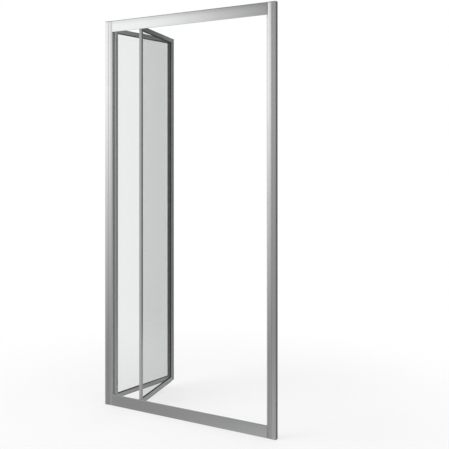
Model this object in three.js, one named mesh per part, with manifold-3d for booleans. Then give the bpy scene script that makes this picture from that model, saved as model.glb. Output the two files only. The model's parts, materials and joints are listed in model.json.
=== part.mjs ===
import * as THREE from 'three';
import { mergeVertices } from 'three/addons/utils/BufferGeometryUtils.js';
import Module from 'manifold-3d';

// A framed bi-fold shower door for a niche, shown folded open. Millimetres, +Z up.
// X runs across the doorway, -Y is the room side and +Y the shower side.
// The origin is the middle of the threshold's underside, on the plane of the leaves' pivots.

const wasm = await Module();
wasm.setup();

// Whole door
const doorWidth = 896;
const doorHeight = 1850;
const foldedAngle = THREE.MathUtils.degToRad(80.3);
const profileWall = 1.6;
const frontBulge = 1;

// Gaps between pieces
const seatGap = 0.3;
const slideGap = 0.6;
const cutOverrun = 5;

// Wall profiles, the U channels that are screwed to the walls. Their fronts line up with the jambs'.
const wallProfileDepth = 20;
const wallProfileReach = 18;
const shadowGap = 1.5;
const wallScrewHoleRadius = 2.6;
const wallScrewHeightShares = [0.08, 0.5, 0.92];

// Jambs, which slide into the wall profiles
const jambWidth = 21;
const jambBow = 3;
const jambEdgeRound = 1.2;
const tongueLength = 14;
const lockScrewHeightShares = [0.16, 0.5, 0.84];
const jambCapThickness = 3;
const jambCapPlugDepth = 5;

// The header's skirt hides the gap above the leaves, and the threshold's upstand the one below them
const frontWall = 3;
const frontEdgeRound = 1.6;

// Header
const headerSkirtDrop = 19.3;
const headerChannelHeight = 14;
const headerChamberHeight = 15.5;
const headerEdgeRound = 2.5;

// Threshold
const upstandHeight = 54.5;
const thresholdChamberHeight = 9.8;
const thresholdChannelHeight = 14;
const thresholdBackDrop = 5;
const weepWidth = 30;
const weepHeight = 3;
const weepPlaceShares = [-0.35, 0, 0.35];

// Guide channels, in the header and in the threshold
const channelWidth = 16;
const channelLip = 2;
const pinRadius = 3.5;
const slotClearance = 1;

// Leaves
const pocketCheek = 2.2;
const pocketDepth = 7;
const endChamberWidth = 4.3;
const foldChamberWidth = 3.3;
const railChamberHeight = 10.8;
const axisInset = 7.5;
const leafBottomGap = 5;
const leafTopGap = 2.5;
const edgeChamfer = 0.8;
const glassThickness = 4;
const gasketLeg = 1.2;
const gasketBack = 1;
const gasketShow = 3;
const dripSealThickness = 2;
const dripSealDrop = 3;

// Fold hinge between the leaves
const foldFaceGap = 1;
const hingeWidthA = 6;
const hingeWidthB = 13;
const hingeTongueWidth = 3;
const hingeTongueDepth = 3.7;
const foldGap = 1;
const knuckleRadius = 4.5;
const knuckleCount = 11;
const hingePinRadius = 2;
const hingeEndInset = 4;

// Pivots and guides
const hingeSideGap = 1.5;
const pinPlateThickness = 1.5;
const pinPlugLength = 25;
const pinEngagement = 10;
const pivotBlockLength = 30;
const guideShoeLength = 30;

// Seals and strike
const sideSealThickness = 2.2;
const sideSealWidth = 13;
const magnetDepth = 3;
const magnetInset = 0.6;
const strikeDepth = 5.8;
const strikeRecess = 1.2;
const strikeGap = 0.6;

// Corner blocks and screws
const cornerBlockLength = 25;
const cornerScrewLength = 18;
const screwHeadRadius = 3.8;
const screwHeadHeight = 2.4;
const screwShankRadius = 1.9;
const screwSlotWidth = 1.1;
const screwSlotDepth = 1.2;
const accessHoleRadius = 4.8;
const lockScrewEngagement = 1.5;

// Steps on round shapes
const roundSteps = 16;
const curveSteps = 6;

// Places that follow from the sizes
const halfWidth = doorWidth / 2;
const postWidth = wallProfileReach + shadowGap + jambWidth;
const clearHalfWidth = halfWidth - postWidth;
const pocketHalf = glassThickness / 2 + gasketLeg + 2 * seatGap;
const leafHalf = pocketHalf + pocketCheek;
const foldOffset = leafHalf + foldFaceGap;
const grooveDepth = hingeTongueDepth + seatGap;
const endStileWidth = endChamberWidth + 2 * profileWall + pocketDepth;
const foldStileWidth = grooveDepth + foldChamberWidth + 2 * profileWall + pocketDepth;
const railHeight = railChamberHeight + 2 * profileWall + pocketDepth;
const leadReach = axisInset + magnetDepth;
const frontFace = Math.hypot(leadReach, leafHalf) + slideGap + frontWall;
const frontEdge = frontFace - frontBulge;
const frontWallBack = frontWall - frontFace;
const backFace = frontFace;
const jambEdge = frontFace - jambBow;
const slotHalf = pinRadius + slotClearance;
const channelHalf = channelWidth / 2;
const headerChannelDepth = channelLip + headerChannelHeight;
const headerBase = doorHeight - headerChannelDepth - headerChamberHeight - 2 * profileWall;
const headerSkirtEnd = headerBase - headerSkirtDrop;
const headerChannelFloor = headerBase + channelLip;
const headerChannelTop = headerChannelFloor + headerChannelHeight;
const thresholdChannelFloor = thresholdChamberHeight + 2 * profileWall;
const thresholdChannelTop = thresholdChannelFloor + thresholdChannelHeight;
const thresholdBaseHeight = thresholdChannelTop + channelLip;
const thresholdBackHeight = thresholdBaseHeight - thresholdBackDrop;
const leafBottom = thresholdBaseHeight + leafBottomGap;
const leafTop = headerBase - leafTopGap;
const jambTop = doorHeight - jambCapThickness - seatGap;
const hingeSideReach = Math.hypot(axisInset, leafHalf);
const pivotX = -clearHalfWidth + sideSealThickness + hingeSideGap + hingeSideReach;
const closedGuideX = clearHalfWidth - strikeDepth - strikeGap - leadReach;
const leafSpan = (closedGuideX - pivotX) / 2;
const linkLength = Math.hypot(leafSpan, foldOffset);
const linkAngle = foldedAngle - Math.atan2(foldOffset, leafSpan);
const guideX = pivotX + 2 * linkLength * Math.cos(linkAngle);
const stileInner = endStileWidth - axisInset;
const railLow = leafBottom + railHeight;
const railHigh = leafTop - railHeight;
const glassInset = pocketDepth - gasketBack - 2 * seatGap;
const hingeLow = upstandHeight + hingeEndInset;
const hingeHigh = headerSkirtEnd - hingeEndInset;

const looks = {
  aluminium: { color: 0xc8cacc, roughness: 0.3, metalness: 1 },
  steel: { color: 0xb4b6b8, roughness: 0.35, metalness: 1 },
  glass: { color: 0xdfe5e5, roughness: 0.05, metalness: 0, transparent: true, opacity: 0.3 },
  gasket: { color: 0x3a3c3e, roughness: 0.8, metalness: 0 },
  darkPlastic: { color: 0x1f2022, roughness: 0.55, metalness: 0 },
  greyPlastic: { color: 0x96999c, roughness: 0.5, metalness: 0 },
  magnetStrip: { color: 0x8b8d8f, roughness: 0.6, metalness: 0 },
};

function piece(name, geometry, look) {
  const mesh = new THREE.Mesh(geometry, new THREE.MeshStandardMaterial(look));
  mesh.name = name;
  return mesh;
}

// Leaves only positions in a geometry, with shared corners merged, so that it is one closed skin.
function bare(geometry) {
  geometry.deleteAttribute('normal');
  geometry.deleteAttribute('uv');
  return mergeVertices(geometry);
}

function solid(geometry) {
  const vertProperties = new Float32Array(geometry.attributes.position.array);
  const triVerts = new Uint32Array(geometry.index.array);
  return new wasm.Manifold(new wasm.Mesh({ numProp: 3, vertProperties, triVerts }));
}

function geometryOf(body) {
  const mesh = body.getMesh();
  const geometry = new THREE.BufferGeometry();
  geometry.setAttribute('position', new THREE.BufferAttribute(mesh.vertProperties, 3));
  geometry.setIndex(new THREE.BufferAttribute(mesh.triVerts, 1));
  return geometry;
}

function joined(first, ...others) {
  return geometryOf(others.reduce((body, other) => body.add(solid(other)), solid(first)));
}

function cut(first, ...tools) {
  return geometryOf(tools.reduce((body, tool) => body.subtract(solid(tool)), solid(first)));
}

function outline(points) {
  return new THREE.Shape(points.map(([x, y]) => new THREE.Vector2(x, y)));
}

function rectangle(x0, y0, x1, y1) {
  return outline([[x0, y0], [x1, y0], [x1, y1], [x0, y1]]);
}

const ordered = (a, b) => [Math.min(a, b), Math.max(a, b)];

function extrusion(shape, depth) {
  return new THREE.ExtrudeGeometry(shape, { depth, bevelEnabled: false, curveSegments: curveSteps });
}

// A section drawn in X and Y, run between two heights.
function runUp(shape, low, high) {
  return bare(extrusion(shape, high - low).translate(0, 0, low));
}

// A section drawn in Y and Z, run between two places on X.
function runAcross(shape, low, high) {
  const yzAcross = new THREE.Matrix4().makeBasis(
    new THREE.Vector3(0, 1, 0), new THREE.Vector3(0, 0, 1), new THREE.Vector3(1, 0, 0));
  return bare(extrusion(shape, high - low).applyMatrix4(yzAcross).translate(low, 0, 0));
}

// A section run either way, with its chambers open at both ends.
function hollowRun(run, shape, chambers, [low, high]) {
  const tools = chambers.map((chamber) => run(chamber, low - cutOverrun, high + cutOverrun));
  return cut(run(shape, low, high), ...tools);
}

function block([x0, x1], [y0, y1], [z0, z1]) {
  const box = new THREE.BoxGeometry(Math.abs(x1 - x0), Math.abs(y1 - y0), Math.abs(z1 - z0));
  return bare(box.translate((x0 + x1) / 2, (y0 + y1) / 2, (z0 + z1) / 2));
}

function rod(radius, length) {
  return new THREE.CylinderGeometry(radius, radius, length, roundSteps);
}

function rodUp(radius, [x, y], [low, high]) {
  return bare(rod(radius, high - low).rotateX(Math.PI / 2).translate(x, y, (low + high) / 2));
}

function rodAcross(radius, [y, z], [from, to]) {
  return bare(rod(radius, Math.abs(to - from)).rotateZ(Math.PI / 2).translate((from + to) / 2, y, z));
}

function rodThrough(radius, [x, z], [low, high]) {
  return bare(rod(radius, high - low).translate(x, (low + high) / 2, z));
}

// A pan-head screw with a cross slot, its head on the plane z = 0 and its shank below it.
function screw(shankLength) {
  const shank = rodUp(screwShankRadius, [0, 0], [-shankLength, screwHeadHeight / 2]);
  const head = rodUp(screwHeadRadius, [0, 0], [0, screwHeadHeight]);
  const [narrow, deep] = [screwSlotWidth / 2, screwHeadHeight - screwSlotDepth];
  const long = screwHeadRadius - profileWall;
  const slotHeights = [deep, screwHeadHeight + cutOverrun];
  const slotAcross = block([-long, long], [-narrow, narrow], slotHeights);
  const slotAlong = block([-narrow, narrow], [-long, long], slotHeights);
  return cut(joined(shank, head), slotAcross, slotAlong);
}

// The frame's side posts. Each is drawn by distance in from its wall, so that one drawing serves both.

const shoulder = wallProfileReach + shadowGap;
const tongueStart = shoulder - tongueLength;
const wallProfileBack = wallProfileDepth - frontFace;
const tongueFront = profileWall + slideGap - frontFace;
const tongueBack = wallProfileBack - profileWall - slideGap;
const tonguePlace = shoulder - tongueLength / 2;
const screwPlane = (tongueFront + tongueBack) / 2;
const screwHoleRadius = screwShankRadius + seatGap;
const headerScrewHeight = headerChannelTop + profileWall + headerChamberHeight / 2;
const thresholdScrewHeight = profileWall + thresholdChamberHeight / 2;

function wallProfile(side) {
  const inFromWall = ([distance, y]) => [side * (halfWidth - distance), y];
  const [frontInside, backInside] = [profileWall - frontFace, wallProfileBack - profileWall];
  const channel = outline([
    [0, -frontFace], [wallProfileReach, -frontFace], [wallProfileReach, frontInside],
    [profileWall, frontInside], [profileWall, backInside], [wallProfileReach, backInside],
    [wallProfileReach, wallProfileBack], [0, wallProfileBack],
  ].map(inFromWall));
  const throughWall = [side * (halfWidth - cutOverrun), side * (halfWidth + cutOverrun)];
  const holes = wallScrewHeightShares.map((share) => rodAcross(
    wallScrewHoleRadius, [screwPlane, share * jambTop], throughWall));
  const lockHoles = lockScrewHeightShares.map((share) => rodThrough(
    screwHoleRadius, [side * (halfWidth - tonguePlace), share * jambTop],
    [screwPlane, wallProfileBack + cutOverrun]));
  return cut(runUp(channel, 0, jambTop), ...holes, ...lockHoles);
}

// The outer shape of a jamb or of its cap, with its front bowed. Between its start and its shoulder it
// reaches from low to high.
function postOutline(side, start, [low, high]) {
  const x = (distance) => side * (halfWidth - distance);
  const shape = new THREE.Shape();
  shape.moveTo(x(start), low);
  if (low > -frontFace) shape.lineTo(x(shoulder), low);
  shape.lineTo(x(shoulder), -frontFace);
  shape.quadraticCurveTo(
    x((shoulder + postWidth - jambEdgeRound) / 2), -frontFace, x(postWidth - jambEdgeRound), -jambEdge);
  shape.quadraticCurveTo(x(postWidth), -jambEdge, x(postWidth), jambEdgeRound - jambEdge);
  shape.lineTo(x(postWidth), backFace);
  shape.lineTo(x(shoulder), backFace);
  shape.lineTo(x(shoulder), high);
  shape.lineTo(x(start), high);
  return shape;
}

function jamb(side) {
  const x = (distance) => side * (halfWidth - distance);
  const chamber = rectangle(
    x(shoulder + profileWall), profileWall + jambEdgeRound - jambEdge,
    x(postWidth - profileWall), backFace - profileWall);
  const tongueChamber = rectangle(
    x(tongueStart + profileWall), tongueFront + profileWall, x(shoulder), tongueBack - profileWall);
  const shape = postOutline(side, tongueStart, [tongueFront, tongueBack]);
  const body = hollowRun(runUp, shape, [chamber, tongueChamber], [0, jambTop]);
  const cornerHeights = [thresholdScrewHeight, headerScrewHeight];
  const screwHoles = cornerHeights.map((z) => rodAcross(
    screwHoleRadius, [screwPlane, z],
    [x(postWidth - profileWall - cutOverrun), x(postWidth + cutOverrun)]));
  const accessHoles = cornerHeights.map((z) => rodAcross(
    accessHoleRadius, [screwPlane, z],
    [x(tongueStart - cutOverrun), x(shoulder + profileWall + cutOverrun)]));
  const lockHoles = lockScrewHeightShares.map((share) => rodThrough(
    screwHoleRadius, [x(tonguePlace), share * jambTop], [screwPlane, tongueBack + cutOverrun]));
  return cut(body, ...screwHoles, ...accessHoles, ...lockHoles);
}

function jambCap(side) {
  const x = (distance) => side * (halfWidth - distance);
  const plate = runUp(postOutline(side, 0, [-frontFace, wallProfileBack]), jambTop + seatGap, doorHeight);
  const inset = profileWall + seatGap;
  const plug = block(
    [x(tongueStart + inset), x(shoulder - seatGap)], [tongueFront + inset, tongueBack - inset],
    [jambTop - jambCapPlugDepth, doorHeight - jambCapThickness / 2]);
  return joined(plate, plug);
}

// A screw that fixes a jamb in its wall profile, put in from the shower side.
function lockScrew(side, share) {
  const shankLength = profileWall + slideGap + profileWall + lockScrewEngagement + seatGap;
  const mesh = piece('', screw(shankLength), looks.steel);
  mesh.position.set(side * (halfWidth - tonguePlace), wallProfileBack + seatGap, share * jambTop);
  mesh.rotation.x = -Math.PI / 2;
  return mesh;
}

// A screw from inside a jamb into the end of the header or threshold.
function cornerScrew(side, z) {
  const mesh = piece('', screw(cornerScrewLength), looks.steel);
  mesh.position.set(side * (halfWidth - postWidth + profileWall + seatGap), screwPlane, z);
  mesh.rotation.y = side * Math.PI / 2;
  return mesh;
}

const betweenJambs = [seatGap - clearHalfWidth, clearHalfWidth - seatGap];

// The header: a bowed front that ends in the skirt, a guide channel that opens downwards and hollows
// round it.
function header() {
  const lowEdge = headerSkirtEnd;
  const shape = new THREE.Shape();
  shape.moveTo(headerEdgeRound - frontEdge, doorHeight);
  shape.quadraticCurveTo(-frontEdge, doorHeight, -frontEdge, doorHeight - headerEdgeRound);
  shape.quadraticCurveTo(
    -frontFace - frontBulge, (lowEdge + doorHeight) / 2, -frontEdge, lowEdge + frontEdgeRound);
  shape.quadraticCurveTo(-frontEdge, lowEdge, frontEdgeRound - frontEdge, lowEdge);
  for (const [y, z] of [
    [frontWallBack, lowEdge], [frontWallBack, headerBase], [-slotHalf, headerBase],
    [-slotHalf, headerChannelFloor], [-channelHalf, headerChannelFloor],
    [-channelHalf, headerChannelTop], [channelHalf, headerChannelTop], [channelHalf, headerChannelFloor],
    [slotHalf, headerChannelFloor], [slotHalf, headerBase], [backFace, headerBase],
    [backFace, doorHeight],
  ]) shape.lineTo(y, z);
  const sideLow = headerBase + profileWall;
  const [frontInside, backInside] = [profileWall - frontEdge, backFace - profileWall];
  const chambers = [
    rectangle(frontInside, headerChannelTop + profileWall, backInside, doorHeight - profileWall),
    rectangle(frontInside, sideLow, -channelHalf - profileWall, headerChannelTop),
    rectangle(channelHalf + profileWall, sideLow, backInside, headerChannelTop),
  ];
  return hollowRun(runAcross, shape, chambers, betweenJambs);
}

// The threshold: a bowed upstand in front, a guide channel that opens upwards and a sloping back.
function threshold() {
  const shape = new THREE.Shape();
  shape.moveTo(frontEdgeRound - frontEdge, upstandHeight);
  shape.quadraticCurveTo(-frontEdge, upstandHeight, -frontEdge, upstandHeight - frontEdgeRound);
  shape.quadraticCurveTo(-frontFace - frontBulge, upstandHeight / 2, -frontEdge, 0);
  for (const [y, z] of [
    [backFace, 0], [backFace, thresholdBackHeight], [channelHalf + profileWall, thresholdBaseHeight],
    [slotHalf, thresholdBaseHeight], [slotHalf, thresholdChannelTop], [channelHalf, thresholdChannelTop],
    [channelHalf, thresholdChannelFloor], [-channelHalf, thresholdChannelFloor],
    [-channelHalf, thresholdChannelTop], [-slotHalf, thresholdChannelTop],
    [-slotHalf, thresholdBaseHeight], [frontWallBack, thresholdBaseHeight],
    [frontWallBack, upstandHeight],
  ]) shape.lineTo(y, z);
  const backInside = backFace - profileWall;
  const chambers = [
    rectangle(frontWallBack, profileWall, backInside, thresholdChannelFloor - profileWall),
    rectangle(
      frontWallBack, thresholdChannelFloor, -channelHalf - profileWall, thresholdBaseHeight - profileWall),
    outline([
      [channelHalf + profileWall, thresholdChannelFloor], [backInside, thresholdChannelFloor],
      [backInside, thresholdBackHeight - profileWall],
      [channelHalf + profileWall, thresholdBaseHeight - profileWall],
    ]),
  ];
  const weeps = weepPlaceShares.map((share) => {
    const middle = share * 2 * clearHalfWidth;
    return block([middle - weepWidth / 2, middle + weepWidth / 2], [0, backFace + cutOverrun],
      [thresholdChannelFloor, thresholdChannelFloor + weepHeight]);
  });
  return cut(hollowRun(runAcross, shape, chambers, betweenJambs), ...weeps);
}

// A block in the hollow end of the header or threshold, with the hole for its corner screw.
function cornerBlock(side, front, [low, high], screwHeight) {
  const end = side * (clearHalfWidth - seatGap);
  const inner = side * (clearHalfWidth - seatGap - cornerBlockLength);
  const body = block(
    [end, inner], [front + seatGap, backFace - profileWall - seatGap], [low + seatGap, high - seatGap]);
  const hole = rodAcross(
    screwHoleRadius, [screwPlane, screwHeight], [end + side * cutOverrun, inner - side * cutOverrun]);
  return cut(body, hole);
}

// Plastic blocks in the guide channels: the fixed pivot blocks and the shoes that slide.

const headerChannel = [headerChannelFloor, headerChannelTop];
const thresholdChannel = [thresholdChannelFloor, thresholdChannelTop];

function pivotBlock([low, high], [holeLow, holeHigh]) {
  const halfDepth = channelHalf - seatGap;
  const body = block(
    [seatGap - clearHalfWidth, pivotX + pivotBlockLength / 2], [-halfDepth, halfDepth],
    [low + seatGap, high - seatGap]);
  return cut(body, rodUp(pinRadius + seatGap, [pivotX, 0], [holeLow, holeHigh]));
}

function guideShoe([low, high]) {
  const halfDepth = channelHalf - slideGap;
  const halfLength = guideShoeLength / 2;
  const body = block([-halfLength, halfLength], [-halfDepth, halfDepth], [low + slideGap, high - slideGap]);
  return cut(body, rodUp(pinRadius + seatGap, [0, 0], [low - cutOverrun, high + cutOverrun]));
}

// A pin on a plug that fits a stile's hollow end, with a plate between them. The pin is on the
// leaf's turning axis, and toFold is +1 or -1, the side of the axis that the fold lies on.
function axisPin(toFold, stileEnd, pinEnd) {
  const out = Math.sign(pinEnd - stileEnd);
  const plateBack = stileEnd + out * seatGap;
  const plateFace = plateBack + out * pinPlateThickness;
  const plateMiddle = (plateBack + plateFace) / 2;
  const plugHalf = leafHalf - profileWall - seatGap;
  const plateHalf = leafHalf - profileWall;
  const plugBack = profileWall + seatGap - axisInset;
  const plugFront = profileWall - seatGap + endChamberWidth - axisInset;
  const plug = block(
    [toFold * plugBack, toFold * plugFront], [-plugHalf, plugHalf],
    [stileEnd - out * pinPlugLength, plateMiddle]);
  const plate = block(
    [toFold * (profileWall - axisInset), toFold * (pinRadius + profileWall)], [-plateHalf, plateHalf],
    [plateBack, plateFace]);
  return joined(plug, plate, rodUp(pinRadius, [0, 0], ordered(plateMiddle, pinEnd)));
}

// The section of a stile or rail, from its outer edge to its inner edge, as places across the leaf's
// face and through its thickness. A groove for the fold hinge may run along the outer edge.
function leafProfile(outer, inner, groove) {
  const toward = Math.sign(inner - outer);
  const width = Math.abs(inner - outer);
  const at = (distance) => outer + toward * distance;
  const grooveHalf = hingeTongueWidth / 2 + seatGap;
  const groovePoints = groove === 0 ? [] : [
    [at(0), grooveHalf], [at(groove), grooveHalf], [at(groove), -grooveHalf], [at(0), -grooveHalf],
  ];
  const pocketFloor = at(width - pocketDepth);
  const points = [
    [at(edgeChamfer), -leafHalf], [inner, -leafHalf], [inner, -pocketHalf], [pocketFloor, -pocketHalf],
    [pocketFloor, pocketHalf], [inner, pocketHalf], [inner, leafHalf], [at(edgeChamfer), leafHalf],
    [at(0), leafHalf - edgeChamfer], ...groovePoints, [at(0), edgeChamfer - leafHalf],
  ];
  const chamberHalf = leafHalf - profileWall;
  const chamberStart = at(groove + profileWall);
  const chamberEnd = at(width - pocketDepth - profileWall);
  const chamber = [
    [chamberStart, -chamberHalf], [chamberEnd, -chamberHalf],
    [chamberEnd, chamberHalf], [chamberStart, chamberHalf],
  ];
  return { points, chamber };
}

// The U-shaped strip that grips an edge of the glass in the pocket of the profile beside it.
function gasketPoints(edge, toward) {
  const at = (distance) => edge + toward * distance;
  const inner = glassThickness / 2 + seatGap;
  const outer = inner + gasketLeg;
  const back = at(seatGap - pocketDepth);
  const legsStart = at(seatGap + gasketBack - pocketDepth);
  const lip = at(gasketShow);
  return [
    [back, -outer], [lip, -outer], [lip, -inner], [legsStart, -inner],
    [legsStart, inner], [lip, inner], [lip, outer], [back, outer],
  ];
}

const swapped = (points) => points.map(([across, through]) => [through, across]);

// One leaf about its own turning axis, closed, with the fold on the toFold side. The two leaves'
// fold stiles differ in place because the two halves of the fold hinge differ in width.
function leaf({ letter, endName, toFold, hingeWidth, firstKnuckle }) {
  const group = new THREE.Group();
  const foldStileEnd = leafSpan - hingeWidth;
  const foldStileInner = foldStileEnd - foldStileWidth;
  const add = (name, geometry, look) => group.add(piece(name, geometry, look));
  const along = ([x, y]) => [toFold * x, y];

  const stile = ({ points, chamber }) => hollowRun(
    runUp, outline(points.map(along)), [outline(chamber.map(along))], [leafBottom, leafTop]);
  const foldProfile = leafProfile(foldStileEnd, foldStileInner, grooveDepth);
  add(`${endName}_stile`, stile(leafProfile(-axisInset, stileInner, 0)), looks.aluminium);
  add(`fold_stile_${letter}`, stile(foldProfile), looks.aluminium);

  const railEnds = ordered(toFold * (stileInner + seatGap), toFold * (foldStileInner - seatGap));
  const rail = ({ points, chamber }) => hollowRun(
    runAcross, outline(swapped(points)), [outline(swapped(chamber))], railEnds);
  add(`top_rail_${letter}`, rail(leafProfile(leafTop, railHigh, 0)), looks.aluminium);
  add(`bottom_rail_${letter}`, rail(leafProfile(leafBottom, railLow, 0)), looks.aluminium);

  add(`glass_${letter}`, block(
    [toFold * (stileInner - glassInset), toFold * (foldStileInner + glassInset)],
    [-glassThickness / 2, glassThickness / 2],
    [railLow - glassInset, railHigh + glassInset]), looks.glass);

  const stripLow = railLow + gasketShow + seatGap;
  const stripHigh = railHigh - gasketShow - seatGap;
  const strip = (points) => runUp(outline(points.map(along)), stripLow, stripHigh);
  add(`gasket_${endName}_side`, strip(gasketPoints(stileInner, 1)), looks.gasket);
  add(`gasket_fold_side_${letter}`, strip(gasketPoints(foldStileInner, -1)), looks.gasket);
  add(`gasket_top_${letter}`,
    runAcross(outline(swapped(gasketPoints(railHigh, -1))), ...railEnds), looks.gasket);
  add(`gasket_bottom_${letter}`,
    runAcross(outline(swapped(gasketPoints(railLow, 1))), ...railEnds), looks.gasket);

  const sealTop = leafBottom - seatGap;
  const sealFace = leafHalf - profileWall;
  add(`drip_seal_${letter}`, block(
    railEnds, [sealFace - dripSealThickness, sealFace], [sealTop - dripSealDrop, sealTop]), looks.gasket);

  const topPinEnd = headerChannelFloor + pinEngagement;
  const bottomPinEnd = thresholdChannelTop - pinEngagement;
  add(`${endName}_pin_top`, axisPin(toFold, leafTop, topPinEnd), looks.steel);
  add(`${endName}_pin_bottom`, axisPin(toFold, leafBottom, bottomPinEnd), looks.steel);
  add(`fold_hinge_${letter}`, hingeHalf(toFold, foldStileEnd, firstKnuckle), looks.darkPlastic);
  return group;
}

// Half of the fold hinge, on the end of a leaf's fold stile, with every second knuckle.
function hingeHalf(toFold, foldStileEnd, firstKnuckle) {
  const x = (place) => toFold * place;
  const start = foldStileEnd + seatGap;
  const end = leafSpan - foldGap / 2;
  const tongueEnd = foldStileEnd - hingeTongueDepth;
  const tongueHalf = hingeTongueWidth / 2;
  const body = runUp(outline([
    [x(start), -leafHalf], [x(end), -leafHalf], [x(end), leafHalf], [x(start), leafHalf],
    [x(start), tongueHalf], [x(tongueEnd), tongueHalf],
    [x(tongueEnd), -tongueHalf], [x(start), -tongueHalf],
  ]), leafBottom, leafTop);
  const axis = [x(leafSpan), -foldOffset];
  const pitch = (hingeHigh - hingeLow) / knuckleCount;
  const knuckle = (index, radius, shrink) => rodUp(
    radius, axis, [hingeLow + index * pitch + shrink, hingeLow + (index + 1) * pitch - shrink]);
  const indices = [...Array(knuckleCount).keys()];
  const own = indices.filter((index) => (index - firstKnuckle) % 2 === 0);
  const others = indices.filter((index) => (index - firstKnuckle) % 2 !== 0);
  const cleared = cut(body, ...others.map((index) => knuckle(index, knuckleRadius + foldGap / 2, 0)));
  const barrelled = joined(cleared, ...own.map((index) => knuckle(index, knuckleRadius, slideGap / 2)));
  const pinHole = rodUp(hingePinRadius + seatGap, axis, [hingeLow - cutOverrun, hingeHigh + cutOverrun]);
  return cut(barrelled, pinHole);
}

// The frame
const door = new THREE.Group();
const addTo = (group, name, geometry, look) => group.add(piece(name, geometry, look));

addTo(door, 'threshold_rail', threshold(), looks.aluminium);
addTo(door, 'header_rail', header(), looks.aluminium);

const headerChamber = [headerChannelTop + profileWall, doorHeight - profileWall];
const thresholdChamber = [profileWall, profileWall + thresholdChamberHeight];
for (const [side, sideName] of [[-1, 'left'], [1, 'right']]) {
  addTo(door, `wall_profile_${sideName}`, wallProfile(side), looks.aluminium);
  addTo(door, `jamb_${sideName}`, jamb(side), looks.aluminium);
  addTo(door, `jamb_cap_${sideName}`, jambCap(side), looks.greyPlastic);
  addTo(door, `corner_block_top_${sideName}`,
    cornerBlock(side, profileWall - frontEdge, headerChamber, headerScrewHeight), looks.darkPlastic);
  addTo(door, `corner_block_bottom_${sideName}`,
    cornerBlock(side, frontWallBack, thresholdChamber, thresholdScrewHeight), looks.darkPlastic);
  const screws = {
    [`corner_screw_top_${sideName}`]: cornerScrew(side, headerScrewHeight),
    [`corner_screw_bottom_${sideName}`]: cornerScrew(side, thresholdScrewHeight),
    [`lock_screw_bottom_${sideName}`]: lockScrew(side, lockScrewHeightShares[0]),
    [`lock_screw_middle_${sideName}`]: lockScrew(side, lockScrewHeightShares[1]),
    [`lock_screw_top_${sideName}`]: lockScrew(side, lockScrewHeightShares[2]),
  };
  for (const [name, mesh] of Object.entries(screws)) {
    mesh.name = name;
    door.add(mesh);
  }
}

const topPinHole = [headerChannelFloor - cutOverrun, headerChannelFloor + pinEngagement + slideGap];
const bottomPinHole = [thresholdChannelTop - pinEngagement - slideGap, thresholdChannelTop + cutOverrun];
addTo(door, 'pivot_block_top', pivotBlock(headerChannel, topPinHole), looks.darkPlastic);
addTo(door, 'pivot_block_bottom', pivotBlock(thresholdChannel, bottomPinHole), looks.darkPlastic);

const sealBack = seatGap - clearHalfWidth;
const sealFront = seatGap - frontEdge;
addTo(door, 'side_seal_left', block(
  [sealBack, sealBack + sideSealThickness - seatGap], [sealFront, sealFront + sideSealWidth],
  [upstandHeight + seatGap, headerSkirtEnd - seatGap]), looks.gasket);

// The strike on the right jamb holds the steel face that the closed leaf's magnet meets.
const strikeFace = clearHalfWidth - strikeDepth;
const strikeBack = clearHalfWidth - seatGap;
const recessHalf = leafHalf - profileWall;
addTo(door, 'strike_profile', runUp(outline([
  [strikeBack, -leafHalf], [strikeBack, leafHalf], [strikeFace, leafHalf], [strikeFace, recessHalf],
  [strikeFace + strikeRecess, recessHalf], [strikeFace + strikeRecess, -recessHalf],
  [strikeFace, -recessHalf], [strikeFace, -leafHalf],
]), thresholdBaseHeight + seatGap, headerBase - seatGap), looks.greyPlastic);

// Leaf a turns on the fixed pivots, and leaf b on the guides. They meet at the fold.
const leafA = leaf({ letter: 'a', endName: 'hinge', toFold: 1, hingeWidth: hingeWidthA, firstKnuckle: 0 });
addTo(leafA, 'fold_hinge_pin',
  rodUp(hingePinRadius, [leafSpan, -foldOffset], [hingeLow, hingeHigh]), looks.steel);
leafA.position.x = pivotX;
leafA.rotation.z = foldedAngle;
door.add(leafA);

const leafB = leaf({ letter: 'b', endName: 'lead', toFold: -1, hingeWidth: hingeWidthB, firstKnuckle: 1 });
const magnetHalf = leafHalf - magnetInset;
addTo(leafB, 'magnet_strip', block(
  [axisInset + seatGap, leadReach], [-magnetHalf, magnetHalf], [leafBottom, leafTop]), looks.magnetStrip);
leafB.position.x = guideX;
leafB.rotation.z = -foldedAngle;
door.add(leafB);

const shoeChannels = { guide_shoe_top: headerChannel, guide_shoe_bottom: thresholdChannel };
for (const [name, channel] of Object.entries(shoeChannels)) {
  const shoe = piece(name, guideShoe(channel), looks.greyPlastic);
  shoe.position.x = guideX;
  door.add(shoe);
}

export default door;
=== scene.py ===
"""A framed bi-fold shower door in bright anodised aluminium and clear glass, folded open.

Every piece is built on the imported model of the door, in metres, +Z up, with the doorway along X and
the shower on the +Y side.
"""

import json
import math

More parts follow.
